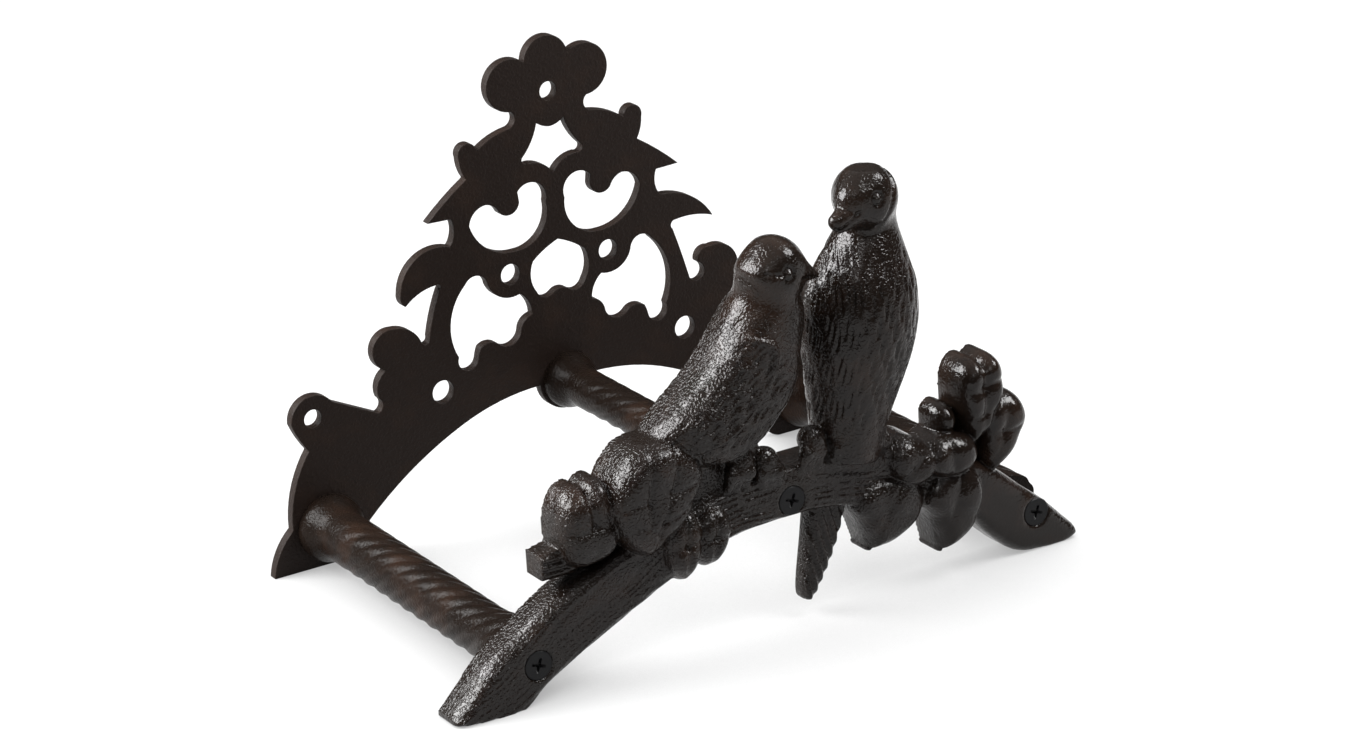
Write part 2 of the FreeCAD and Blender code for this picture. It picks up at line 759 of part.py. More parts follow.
def make_birds():
    bar_axis = (0.0, top_z)
    side = make_roller("side_roller", "0")
    wing = make_roller("wing_roller", "Sizes.wing_lift")
    tall_beak = from_tall_base(from_head(TALL_HEAD, TALL_BEAK))
    tall_eye = from_tall_base(from_head(TALL_HEAD, TALL_EYE))
    small_beak = from_head(SMALL_HEAD, SMALL_BEAK)
    small_eye = from_head(SMALL_HEAD, SMALL_EYE)
    pieces = [
        make_tall_body(),
        make_tail(),
        domed("small_body", strokes(*shifted(*SMALL_BODY, bar_axis)), side),
        domed("small_wing", strokes(*shifted(*SMALL_WING, bar_axis)), wing),
        drawn_out("small_legs", strokes(*shifted(*SMALL_LEGS, bar_axis)), "Sizes.branch_depth - 1"),
        make_head("tall_head", *from_tall_base(TALL_HEAD), "tall_head_dia"),
        make_head("small_head", *SMALL_HEAD, "small_head_dia"),
        make_beak("tall_beak", tall_beak, Vector(-0.82, 0, -0.45), 5.5, "tall_beak_length"),
        make_beak("small_beak", small_beak, Vector(0.88, 0, -0.45), 5, "small_beak_length"),
        make_eye("tall_eye", *tall_eye),
        make_eye("small_eye", *small_eye),
    ]
    front = size("branch_depth")
    toe = leaf_solid(TOE, front, ((0, -1.5), (0, 1.5)), front + size("toe_lift"))
    tall_toes = [(x + TALL_BASE[0], rise + TALL_BASE[1]) for x, rise in TALL_TOES]
    for number, (x, rise) in enumerate([*tall_toes, *SMALL_TOES]):
        place = Placement(Vector(x, 0, top_z + rise), Rotation())
        pieces.append(add_feature(f"toe_{number}", toe.copy(), place))
    return pieces


def cut(name, base, tool):
    left = doc.addObject("Part::Cut", name)
    left.Base = base
    left.Tool = tool
    return left


def make_front_casting():
    pieces = [make_branch(), *make_birds(), *make_leaves()]
    doc.recompute()
    relief = doc.addObject("Part::MultiFuse", "relief")
    relief.Shapes = pieces
    reach = 2 * size("bar_spacing")
    behind = add_feature("behind", Part.makeBox(2 * reach, reach, 2 * reach, Vector(-reach, 0, -reach)))
    below = Part.makeBox(2 * reach, 2 * reach, reach, Vector(-reach, -reach, floor_z - reach))
    holes = Part.makeCompound(at_bars(screw_hole(-size("branch_depth"), 1)))
    flat = cut("flat_backed", relief, behind)
    footed = cut("level_footed", flat, add_feature("below", below))
    casting = cut("front_casting", footed, add_feature("front_holes", holes))
    casting.Placement = Placement(Vector(0, front_y, 0), Rotation())
    doc.recompute()
    return casting


def sink_rear_screws(plate):
    """Countersunk holes through the wall plate, from the wall side, for the three rear screws."""
    hole = screw_hole(0, size("plate_thick") + 1)
    hole.rotate(Vector(0, 0, 0), Vector(0, 0, 1), 180)
    cutters = add_feature("rear_screw_holes", Part.makeCompound(at_bars(hole)))
    drilled = cut("wall_plate", plate, cutters)
    doc.recompute()
    return drilled


def checked(name, obj):
    shape = obj.Shape
    if shape.isNull() or not shape.isValid():
        raise RuntimeError(f"{name} has no sound shape")
    print(f"{name}: {len(shape.Solids)} solids, {shape.Volume:.0f} mm3")
    return shape


def main():
    plate = sink_rear_screws(make_wall_plate())
    bars = {name: make_bar(name, x, z, diameter) for name, x, z, diameter in bar_places}
    front_screws, rear_screws = make_screws()
    casting = make_front_casting()
    doc.recompute()
    nodes = {
        "wall_plate": plate,
        **bars,
        "front_casting": casting,
        "front_screws": front_screws,
        "rear_screws": rear_screws,
    }
    for obj in doc.Objects:
        if "Invalid" in obj.State or "Error" in obj.State:
            raise RuntimeError(f"{obj.Name} did not build")
    shapes = {name: checked(name, obj) for name, obj in nodes.items()}
    os.makedirs("parts", exist_ok=True)
    for name, shape in shapes.items():
        nodes[name].Label = name
        shape.exportStep(os.path.join("parts", f"{name}.step"))


main()
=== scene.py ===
"""Looks of a cast-iron hose hanger: sculpted front casting, rope-twisted bars, scroll plate, screws and a studio."""
import math

import bmesh
import bpy
import numpy as np
import openvdb
from mathutils import Matrix, Vector


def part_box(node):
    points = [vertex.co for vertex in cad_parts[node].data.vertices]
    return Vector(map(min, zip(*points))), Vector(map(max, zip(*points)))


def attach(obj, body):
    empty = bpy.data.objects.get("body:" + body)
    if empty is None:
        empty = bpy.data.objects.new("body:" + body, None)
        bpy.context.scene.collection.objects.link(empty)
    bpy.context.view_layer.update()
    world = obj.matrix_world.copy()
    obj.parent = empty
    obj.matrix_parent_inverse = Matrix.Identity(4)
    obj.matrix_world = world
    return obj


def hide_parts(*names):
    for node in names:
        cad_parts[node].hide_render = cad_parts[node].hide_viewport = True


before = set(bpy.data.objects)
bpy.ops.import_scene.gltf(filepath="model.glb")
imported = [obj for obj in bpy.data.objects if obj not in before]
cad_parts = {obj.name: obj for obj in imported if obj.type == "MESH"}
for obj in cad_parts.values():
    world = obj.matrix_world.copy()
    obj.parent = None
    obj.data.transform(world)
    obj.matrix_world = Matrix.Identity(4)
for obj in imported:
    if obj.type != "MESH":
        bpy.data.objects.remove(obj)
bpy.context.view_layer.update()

bl_info = {
    "name": "Hose Hanger",
    "version": (1, 0, 0),
    "blender": (4, 5, 0),
    "location": "3D View > Sidebar > Hanger",
    "description": "Builds the looks of a cast-iron hose hanger with two birds on a branch",
    "category": "Object",
}

MM = 0.001

# In millimetres: front of the wall plate, flat back of the front casting, floor, and where the bars' axes pass
PLATE_FRONT = -4.5
BACK = -154.5
FLOOR = -173.0
BAR_AXES = {"left_bar": (-112.5, -157.0), "centre_bar": (0.0, -122.0), "right_bar": (112.5, -157.0)}
SCREWS = tuple(BAR_AXES.values())


class HangerSizes(bpy.types.PropertyGroup):
    """Sizes of the pieces that are shaped here."""
    relief_step: bpy.props.FloatProperty(
        name="Relief step", description="Spacing of the grid the front casting is shaped on, in millimetres",
        default=0.6, min=0.4, max=2.0)
    feather_depth: bpy.props.FloatProperty(
        name="Feather depth", description="Depth of the feather strokes, in millimetres", default=0.8)
    bark_depth: bpy.props.FloatProperty(
        name="Bark depth", description="Depth of the grooves along the branch, in millimetres", default=0.7)
    rope_depth: bpy.props.FloatProperty(
        name="Rope depth", description="Depth of the grooves between the strands of a bar", default=0.0008,
        subtype="DISTANCE", unit="LENGTH")
    rope_lead: bpy.props.FloatProperty(
        name="Rope lead", description="Length in which a strand goes once round", default=0.092,
        subtype="DISTANCE", unit="LENGTH")
    rope_starts: bpy.props.IntProperty(name="Strands", description="Strands round a bar", default=9)
    plate_round: bpy.props.FloatProperty(
        name="Plate rounding", description="Rounding of the edges of the wall plate", default=0.0008,
        subtype="DISTANCE", unit="LENGTH")
    recess_depth: bpy.props.FloatProperty(
        name="Recess depth", description="Depth of the cross recess of a screw", default=0.0019,
        subtype="DISTANCE", unit="LENGTH")


class HangerFinish(bpy.types.PropertyGroup):
    """Colours of the finish."""
    paint: bpy.props.FloatVectorProperty(
        name="Paint", description="Dark brown paint", subtype="COLOR", size=4, default=(0.0068, 0.0045, 0.0034, 1))
    plate: bpy.props.FloatVectorProperty(
        name="Plate paint", description="Browner, duller paint of the wall plate", subtype="COLOR", size=4,
        default=(0.0100, 0.0060, 0.0045, 1))
    rust: bpy.props.FloatVectorProperty(
        name="Warm patches", description="Rusty brown in the recesses", subtype="COLOR", size=4,
        default=(0.0150, 0.0082, 0.0054, 1))
    black: bpy.props.FloatVectorProperty(
        name="Screw black", description="Black of the screws", subtype="COLOR", size=4,
        default=(0.007, 0.007, 0.0075, 1))
    floor: bpy.props.FloatVectorProperty(
        name="Floor", description="Pale floor", subtype="COLOR", size=4, default=(0.12, 0.12, 0.12, 1))


def settings():
    """Sizes and finish of the scene."""
    return bpy.context.scene.hanger_sizes, bpy.context.scene.hanger_finish


# Shading

def socket(tree, name, kind, direction, default=None):
    """Adds an input or an output to a node tree."""
    made = tree.interface.new_socket(name=name, in_out=direction, socket_type=kind)
    if default is not None:
        made.default_value = default
    return made


def node(tree, kind, inputs=None, **values):
    """Adds a node, with each input linked to a socket or set to a value."""
    made = tree.nodes.new(kind)
    for key, value in values.items():
        setattr(made, key, value)
    for key, value in (inputs or {}).items():
        if isinstance(value, bpy.types.NodeSocket):
            tree.links.new(value, made.inputs[key])
        else:
            made.inputs[key].default_value = value
    return made


def grain_group():
    """Sand-cast grain under paint: a height for the bump, a mask of worn patches and a variation of gloss."""
    name = "cast_grain"
    if name in bpy.data.node_groups:
        return bpy.data.node_groups[name]
    tree = bpy.data.node_groups.new(name, "ShaderNodeTree")
    socket(tree, "Vector", "NodeSocketVector", "INPUT")
    socket(tree, "Grain Scale", "NodeSocketFloat", "INPUT", 900.0)
    socket(tree, "Patch Scale", "NodeSocketFloat", "INPUT", 45.0)
    socket(tree, "Height", "NodeSocketFloat", "OUTPUT")
    socket(tree, "Patches", "NodeSocketFloat", "OUTPUT")
    socket(tree, "Roughness", "NodeSocketFloat", "OUTPUT")
    given = node(tree, "NodeGroupInput").outputs
    fine = node(tree, "ShaderNodeTexNoise", {
        "Vector": given["Vector"], "Scale": given["Grain Scale"], "Detail": 1.0, "Roughness": 0.5})
    coarse_scale = node(tree, "ShaderNodeMath", {0: given["Grain Scale"], 1: 0.3}, operation="MULTIPLY")
    coarse = node(tree, "ShaderNodeTexNoise", {
        "Vector": given["Vector"], "Scale": coarse_scale.outputs[0], "Detail": 1.0})
    dots = node(tree, "ShaderNodeMapRange", {0: fine.outputs[0], 1: 0.42, 2: 0.66, 3: 0.0, 4: 0.6},
                interpolation_type="SMOOTHSTEP")
    both = node(tree, "ShaderNodeMath", {0: coarse.outputs[0], 1: 0.5, 2: dots.outputs[0]}, operation="MULTIPLY_ADD")
    patch = node(tree, "ShaderNodeTexNoise", {
        "Vector": given["Vector"], "Scale": given["Patch Scale"], "Detail": 4.0, "Roughness": 0.6})
    mask = node(tree, "ShaderNodeMapRange", {0: patch.outputs[0], 1: 0.5, 2: 0.72, 3: 0.0, 4: 1.0})
    gloss = node(tree, "ShaderNodeMapRange", {0: patch.outputs[0], 1: 0.3, 2: 0.7, 3: -0.05, 4: 0.05})
    node(tree, "NodeGroupOutput", {
        "Height": both.outputs[0], "Patches": mask.outputs[0], "Roughness": gloss.outputs[0]})
    return tree


def paint_material(name, grain, distance, roughness, gleam, paint, worn=None):
    """Dark brown satin paint over cast iron. The point attribute named by worn scales the grain."""
    if name in bpy.data.materials:
        return bpy.data.materials[name]
    finish = settings()[1]
    material = bpy.data.materials.new(name)
    material.use_nodes = True
    tree = material.node_tree
    shader = tree.nodes["Principled BSDF"]
    place = node(tree, "ShaderNodeTexCoord").outputs["Object"]
    cast = node(tree, "ShaderNodeGroup", node_tree=grain_group())
    tree.links.new(place, cast.inputs["Vector"])
    cast.inputs["Grain Scale"].default_value = grain
    colour = node(tree, "ShaderNodeMix", {0: cast.outputs["Patches"]}, data_type="RGBA")
    colour.inputs[6].default_value = paint
    colour.inputs[7].default_value = finish.rust
    tree.links.new(colour.outputs[2], shader.inputs["Base Color"])
    gloss = node(tree, "ShaderNodeMath", {0: cast.outputs["Roughness"], 1: roughness}, operation="ADD")
    tree.links.new(gloss.outputs[0], shader.inputs["Roughness"])
    raised = node(tree, "ShaderNodeBump", {"Strength": 1.0, "Distance": distance, "Height": cast.outputs["Height"]})
    if worn:
        kept = node(tree, "ShaderNodeAttribute", attribute_name=worn)
        tree.links.new(kept.outputs["Fac"], raised.inputs["Strength"])
    tree.links.new(raised.outputs[0], shader.inputs["Normal"])
    shader.inputs["Metallic"].default_value = 0.0
    shader.inputs["Specular IOR Level"].default_value = gleam
    return material


PLAIN_GLEAM = 0.12


def plain_material(name, colour, roughness):
    """One even colour."""
    if name in bpy.data.materials:
        return bpy.data.materials[name]
    material = bpy.data.materials.new(name)
    material.use_nodes = True
    shader = material.node_tree.nodes["Principled BSDF"]
    shader.inputs["Base Color"].default_value = colour
    shader.inputs["Specular IOR Level"].default_value = PLAIN_GLEAM
    shader.inputs["Roughness"].default_value = roughness
    return material


# Meshes

def piece(name, mesh, material):
    """An object of its own at the origin, in one material."""
    made = bpy.data.objects.new(name, mesh)
    bpy.context.scene.collection.objects.link(made)
    mesh.materials.clear()
    mesh.materials.append(material)
    return made


def smooth_edges(mesh, degrees):
    """Smooth shading, with edges sharper than an angle left sharp."""
    mesh.polygons.foreach_set("use_smooth", [True] * len(mesh.polygons))
    mesh.set_sharp_from_angle(angle=math.radians(degrees))


def plain(made):
    """The object's evaluated shape as its own plain mesh, with its modifiers taken off."""
    graph = bpy.context.evaluated_depsgraph_get()
    mesh = bpy.data.meshes.new_from_object(made.evaluated_get(graph), depsgraph=graph)
    made.modifiers.clear()
    old = made.data
    made.data = mesh
    mesh.name = made.name
    bpy.data.meshes.remove(old)
    return made


WELD = 1e-6


def facing_out(mesh, weld=0.0):
    """Welds points that are closer than a distance and turns every face outward."""
    work = bmesh.new()
    work.from_mesh(mesh)
    if weld:
        bmesh.ops.remove_doubles(work, verts=work.verts, dist=weld)
    bmesh.ops.recalc_face_normals(work, faces=work.faces)
    work.to_mesh(mesh)
    work.free()


def belongs(made, slot, *nodes):
    """Attaches a piece to the root body and hides the CAD nodes it stands for; the slot argument is not used."""
    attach(made, "root")
    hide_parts(*nodes)


# Relief of the front casting, in millimetres: x to the right, d forward from its flat back, z up

def curve_through(points, closed=True, steps=6):
    """Smooth run of points through the ones given."""
    given = np.array(points, float)
    count = len(given)
    out = []
    for index in range(count if closed else count - 1):
        if closed:
            a, b, c, e = (given[(index + k) % count] for k in (-1, 0, 1, 2))
        else:
            a, b, c, e = (given[min(max(index + k, 0), count - 1)] for k in (-1, 0, 1, 2))
        for t in np.arange(steps) / steps:
            out.append(0.5 * (2 * b + (c - a) * t + (2 * a - 5 * b + 4 * c - e) * t ** 2
                              + (3 * b - a - 3 * c + e) * t ** 3))
    if not closed:
        out.append(given[-1])
    return np.array(out)


def to_segment(x, z, a, b):
    """Distance to a segment and the share of its length where that is nearest."""
    ax, az = a
    bx, bz = b
    long2 = max((bx - ax) ** 2 + (bz - az) ** 2, 1e-9)
    t = np.clip(((x - ax) * (bx - ax) + (z - az) * (bz - az)) / long2, 0, 1)
    return np.hypot(x - ax - t * (bx - ax), z - az - t * (bz - az)), t


def to_line(x, z, points):
    """Distance to a run of points."""
    best = None
    for a, b in zip(points[:-1], points[1:]):
        far = to_segment(x, z, a, b)[0]
        best = far if best is None else np.minimum(best, far)
    return best


def to_outline(x, z, points):
    """Signed distance to a closed outline, below zero inside."""
    far = to_line(x, z, np.vstack([points, points[:1]]))
    inside = np.zeros(far.shape, bool)
    for (ax, az), (bx, bz) in zip(points, np.roll(points, -1, axis=0)):
        if az != bz:
            crosses = (az > z) != (bz > z)
            inside ^= crosses & (x < (bx - ax) * (z - az) / (bz - az) + ax)
    return np.where(inside, -far, far)


def pillow(inside, rim, crown, width):
    """Height that rises in a quarter round from the rim to the crown over a width inside the outline."""
    t = np.clip(-inside / width, 0, 1)
    return rim + (crown - rim) * np.sqrt(np.clip(1 - (1 - t) ** 2, 0, 1))


def ridge(far, width):
    """Soft bell of height 1 round zero."""
    return np.exp(-(far / width) ** 2)


def rounded_and(a, b, radius):
    """Intersection of two distances with a rounded edge."""
    u = np.maximum(a + radius, 0)
    v = np.maximum(b + radius, 0)
    return np.minimum(np.maximum(a, b), -radius) + np.hypot(u, v)


def bump(place, at, width, height):
    """Soft swelling round a point, given and placed as x, depth and z."""
    return height * ridge(np.sqrt(sum((p - a) ** 2 for p, a in zip(place, at))), width)


CELLS = 64
TABLE = np.random.default_rng(11).random((CELLS, CELLS))


def lattice(u, v):
    """Smooth noise from -1 to 1 with one cell a unit."""
    iu = np.floor(u).astype(int)
    iv = np.floor(v).astype(int)
    fu = u - iu
    fv = v - iv
    fu = fu * fu * (3 - 2 * fu)
    fv = fv * fv * (3 - 2 * fv)
    left, right = iu % CELLS, (iu + 1) % CELLS
    below, above = iv % CELLS, (iv + 1) % CELLS
    low = TABLE[left, below] * (1 - fu) + TABLE[right, below] * fu
    high = TABLE[left, above] * (1 - fu) + TABLE[right, above] * fu
    return 2 * (low * (1 - fv) + high * fv) - 1


def streaks(u, v, pitch=2.1, length=10.0):
    """Feather strokes: short grooves side by side across u, each row set off against the next, from -1 to 0."""
    wander = u + 0.35 * lattice(u / 5, v / 6)
    column = np.round(wander / pitch)
    phase = TABLE[column.astype(int) % CELLS, 7] * 2 * math.pi
    deep = np.clip(0.5 + 0.95 * np.sin(2 * math.pi * v / length + phase), 0, 1)
    return -ridge(wander - column * pitch, 0.55) * deep


class Relief:
    """Distance field on a regular grid."""

    def __init__(self, low, high, step):
        self.step = step
        self.low = np.array(low, float)
        self.axes = [np.arange(a, b + step, step) for a, b in zip(low, high)]
        self.field = np.full([len(axis) for axis in self.axes], 50.0)

    def window(self, x, d, z):
        """Slices of the grid between limits, and the places in them."""
        spans = []
        for axis, (a, b) in zip(self.axes, (x, d, z)):
            spans.append(slice(int(np.searchsorted(axis, a)), int(np.searchsorted(axis, b))))
        grids = np.meshgrid(*(axis[span] for axis, span in zip(self.axes, spans)), indexing="ij", sparse=True)
        return tuple(spans), grids

    def join(self, spans, distance, blend):
        """Adds a shape, with a soft fillet where it meets what is there."""
        here = self.field[spans]
        h = np.clip(0.5 + 0.5 * (here - distance) / blend, 0, 1)
        self.field[spans] = here + (distance - here) * h - blend * h * (1 - h)

    def carve(self, spans, distance):
        """Takes a shape away."""
        self.field[spans] = np.maximum(self.field[spans], -distance)

    def raised(self, outline, height, blend, edge=1.5, deep=31.0, back=None, grow=0.0):
        """Joins a shape drawn by its outline, whose front stands at height(x, z, inside)."""
        low = outline.min(axis=0) - 6
        high = outline.max(axis=0) + 6
        spans, (x, d, z) = self.window((low[0], high[0]), (-2, deep), (low[1], high[1]))
        inside = to_outline(x, z, outline) - grow
        distance = rounded_and(inside, d - height(x, z, inside), edge)
        if back is not None:
            distance = rounded_and(distance, back - d, edge)
        self.join(spans, distance, blend)

    def ball(self, centre, radius, blend, change=None):
        """Joins a ball, with its distance changed by change(x, d, z) from the centre."""
        spans, (x, d, z) = self.window(*((c - radius - 6, c + radius + 6) for c in centre))
        px, pd, pz = x - centre[0], d - centre[1], z - centre[2]
        distance = np.sqrt(px ** 2 + pd ** 2 + pz ** 2) - radius
        if change is not None:
            distance = distance + change(px, pd, pz)
        self.join(spans, distance, blend)

    def horn(self, start, end, wide, narrow, blend):
        """Round bar that tapers between two points."""
        a = np.array(start, float)
        b = np.array(end, float)
        reach = max(wide, narrow) + 5
        spans, (x, d, z) = self.window(*((min(p, q) - reach, max(p, q) + reach) for p, q in zip(a, b)))
        axis = b - a
        t = ((x - a[0]) * axis[0] + (d - a[1]) * axis[1] + (z - a[2]) * axis[2]) / axis.dot(axis)
        t = np.clip(t, 0, 1)
        far = np.sqrt(sum((p - a[k] - t * axis[k]) ** 2 for k, p in enumerate((x, d, z))))
        self.join(spans, far - (wide + (narrow - wide) * t), blend)

    def groove(self, points, width, depth, front):
        """Cuts a line into what faces the front beyond a depth."""
        line = np.array(points, float)
        low = line.min(axis=0) - 3 * width
        high = line.max(axis=0) + 3 * width
        spans, (x, d, z) = self.window((low[0], high[0]), (front, 40), (low[1], high[1]))
        self.field[spans] = self.field[spans] + depth * ridge(to_line(x, z, line), width)


# Stations along the branch: lower and upper edge
BRANCH = (
    ((-146, -172.5), (-147, -171.5)), ((-139.5, -174), (-139.5, -164)), ((-121.5, -175.8), (-129.5, -153)),
    ((-108, -166.4), (-118.5, -146)), ((-90.5, -157), (-99.5, -134)), ((-62.3, -144.1), (-67.3, -121)),
    ((-30, -131.6), (-33, -111)), ((0, -129), (0, -108.8)), ((26, -131.6), (30, -110)),
    ((58.3, -141), (66.3, -119.7)), ((81.7, -151.5), (92, -133.2)), ((93.2, -162.5), (107.8, -146)),
    ((104.2, -171.5), (118.8, -155.3)), ((115.2, -174), (126.8, -163.3)), ((125.2, -174.8), (131.8, -168.3)),
    ((131.2, -172.8), (133.8, -171)),
)


BARK_PITCH = 2.9
SEAT_REACH = 7.0


def add_branch(relief, bark):
    """Arched branch with wavy bark that is calm round the screws."""
    lower = np.array([pair[0] for pair in BRANCH])
    upper = np.array([pair[1] for pair in BRANCH])
    outline = np.vstack([curve_through(lower, False, 4), curve_through(upper, False, 4)[::-1]])
    middle = curve_through((lower + upper) / 2, False, 4)

    def height(x, z, inside):
        across = z - np.interp(x, middle[:, 0], middle[:, 1]) + 0 * x
        across = across * np.cos(np.arctan(np.interp(x, middle[:, 0], np.gradient(middle[:, 1], middle[:, 0]))))
        wave = lattice(x / 26 + 3, across / 9 + 5) * 3.2 + lattice(x / 11, across / 6) * 0.8
        grain = np.sin((across + wave) * 2 * math.pi / BARK_PITCH)
        knots = lattice(x / 14 + 9, across / 8 + 2)
        calm = np.ones(np.broadcast(x, z).shape)
        for sx, sz in SCREWS:
            calm = calm * np.clip((np.hypot(x - sx, z - sz) - SEAT_REACH) / 3.0, 0, 1)
        smooth = np.clip((95 - x) / 20, 0.25, 1) * np.clip((x + 90) / 40, 0.6, 1)
        worn = bark * (0.65 * np.minimum(grain, 0.35) - 0.35) * smooth + 0.5 * np.minimum(knots, 0)
        return pillow(inside, 13.0, 16, 5.0) + calm * worn

    relief.raised(outline, height, 0.01, edge=3.5, grow=0.7)


# Where the two leaf clusters grow from the branch
LEFT_AT = np.array((-69.75, -131.1))
RIGHT_AT = np.array((77.6, -133.2))

# Each leaf: outline, depths of rim and crown and width of its slope, swellings (x, z, radius, front), lines
LEFT_LEAVES = (
    (((-25, 9), (-27.5, 18), (-27, 27), (-23.5, 33.5), (-19.5, 35), (-17, 32.5), (-13.5, 36), (-9.5, 33.5),
      (-7, 13), (-16, 7)), (11, 18.2, 8),
     ((-21.5, 26.5, 6.3, 19), (-13, 28, 6, 18.5), (-20.5, 16, 7, 19), (-12, 17, 6.5, 19.5)),
     (((-17.2, 35), (-17, 29), (-16.5, 23)), ((-26, 21.5), (-21, 20.5), (-17, 22)),
      ((-16.5, 23), (-12, 21), (-8, 22)), ((-24, 14), (-20, 11), (-16, 11.5)))),
    (((-8.5, 25), (-5, 36), (2, 44), (10, 46), (19, 44.5), (26, 38), (28, 31), (22, 20), (13, 12), (4, 7),
      (-4, 14)), (17, 23.7, 8),
     ((0.5, 33, 9, 23.5), (10, 37, 8.5, 24.5), (20, 33.5, 7.5, 24), (3, 19, 8.5, 24), (13, 22, 9, 25)),
     (((4, 20), (4.5, 32), (7, 46)), ((6, 9), (10, 22), (14.5, 33), (17, 45)), ((9, 19), (16, 21), (24, 24)),
      ((4.8, 27), (0, 28.5), (-6, 27)), ((13, 30), (19, 29.5), (26, 32)), ((8, 14), (3, 18), (-2, 19)))),
    (((13, 4), (15, 13), (20, 17.5), (25, 15.5), (27, 6), (25, -2), (20, -7.8), (15.5, -3)), (15, 21.2, 5),
     ((17.3, 9.5, 4.8, 22), (22.7, 9, 4.8, 22.5), (20, 1, 5.5, 23)),
     (((20.5, 17), (20, 8), (20, -6)), ((20, 5), (24, 6.5), (27, 6)), ((20, 5), (16.5, 5.5), (13, 5)))),
    (((26, 7), (29, 13), (34, 15.5), (39, 12.5), (40.5, 5), (37.5, -1), (31, -5.5), (27.5, 0)), (14, 20.2, 5),
     ((31, 8, 5, 21.5), (36.2, 7.5, 4.8, 21), (32.5, 1, 5, 21.5)),
     (((34.8, 15), (33.5, 7), (31.5, -5)), ((33.5, 5), (37, 5), (40, 4)), ((33, 5), (29.5, 4.5), (26.5, 5)))),
)
RIGHT_LEAVES = (
    (((2.2, 24), (1.2, 34), (2.7, 41.5), (6.3, 45.2), (9.2, 45.2), (10.7, 43.2), (15.2, 46), (19.4, 42.6), (21, 34),
      (18, 24), (11, 15), (4.5, 12)), (11, 17.7, 6),
     ((5, 39, 5.6, 20), (15, 40.5, 4.8, 19.5), (6, 29, 6.5, 20), (15, 31, 5.8, 19.5), (9, 21, 6, 19.5)),
     (((9, 14), (10.5, 28), (11, 45)), ((10.6, 33), (6, 34), (1, 36)), ((10, 24), (6, 23.5), (2, 22)),
      ((10.6, 35), (15, 36), (20.5, 37)))),
    (((12, 10), (14, 24.6), (22, 28.6), (29.2, 25), (32, 15), (26, 5.6), (15, -3)), (10, 16.7, 6),
     ((17.5, 20, 6, 18.5), (24.7, 20, 5.8, 19), (20, 9, 6.5, 18.5)),
     (((14, 1), (19, 12), (22.5, 27)), ((19.5, 14), (24, 14.5), (29, 16)))),
    (((-8.3, 23.3), (-7.3, 27.4), (-4.6, 29.2), (-1, 27.8), (0.5, 23.2), (-1.5, 18), (-4.8, 16.5), (-7.5, 18.8)),
     (8, 14.2, 4), ((-5, 24, 4.8, 16),), ()),
    (((-48.5, 0), (-44.8, -8.5), (-41, -19.5), (-41, -19.5), (-31, -18.5), (-20.3, -12.6), (-16.8, -3.5),
      (-19, 4), (-28, 9), (-40, 9.5), (-46, 6)), (11, 18.2, 8),
     ((-42, 1, 7.5, 19), (-30, -1, 7.5, 20), (-38.5, -8, 6.5, 18.5)),
     (((-44, -18), (-37, -6), (-28, 8)), ((-35, -3), (-29, -6), (-25, -9)))),
    (((-17.6, -4), (-13, -14), (-9.4, -27.7), (-9.4, -27.7), (-2.5, -26), (5, -20.5), (8.5, -10), (7, 0), (0, 6),
      (-11, 5)), (13, 20.2, 8),
     ((-11, -5, 7.5, 21), (0.5, -7, 7.5, 22), (-6, -16, 6.5, 20)),
     (((-12.5, -26), (-7, -12), (-2, 5)), ((-5, -8), (1, -13), (5, -17)))),
    (((-34, 15), (-31, 21), (-24, 22.5), (-16, 17), (-13, 9), (-20, 3), (-29, 5)), (14, 20.2, 6),
     ((-27, 14.5, 6, 21.5), (-19.5, 11, 5.8, 22)), (((-31, 7), (-23.5, 12.5), (-16, 17.5)),)),
    (((-18, 11), (-13, 17.5), (-6, 19), (3, 16.5), (6, 9), (-1, 2.5), (-11, 3.5)), (15, 21.2, 6),
     ((-12, 11, 5.8, 22.5), (-2.5, 11, 6.3, 23)), (((-7.5, 19), (-7, 10), (-6, 3)),)),
)


def swollen(rim, crown, width, swellings, at):
    """Height of a leaf whose surface swells between its creases."""

    def height(x, z, inside):
        top = pillow(inside, rim, crown, width)
        for sx, sz, radius, front in swellings:
            dome = front - ((x - sx - at[0]) ** 2 + (z - sz - at[1]) ** 2) / (3.4 * radius)
            h = np.clip(0.5 + 0.5 * (dome - top) / 1.2, 0, 1)
            top = top + (dome - top) * h + 1.2 * h * (1 - h)
        fall = np.sqrt(1 - (1 - np.clip(-inside / 5.0, 0, 1)) ** 2)
        return rim + (top - rim) * fall

    return height


STUB = np.array(((-36.5, 13.5), (-24, 16), (-22, 4), (-36.5, 4))) + LEFT_AT
CREASE_WIDTH = 1.3


def add_leaves(relief):
    """Both leaf clusters with their creases, and the cut twig stub."""
    for at, leaves, crease, grow in ((LEFT_AT, LEFT_LEAVES, 1.1, 1.8), (RIGHT_AT, RIGHT_LEAVES, 0.7, 0.8)):
        for outline, (rim, crown, width), swellings, _ in leaves:
            edge = curve_through(np.array(outline) + at)
            relief.raised(edge, swollen(rim, crown, width, swellings, at), 0.7, edge=2.2, grow=grow)
        for _, (rim, _, _), _, lines in leaves:
            for number, line in enumerate(lines):
                share = 1.0 if number == 0 else 0.65
                run = curve_through(np.array(line) + at, False, 4)
                relief.groove(run, CREASE_WIDTH * share, crease * share, rim)
    relief.raised(STUB, lambda x, z, inside: 12 + 0.6 * np.sin(z * 2.1) + 0 * x, 1.5, edge=1.2)


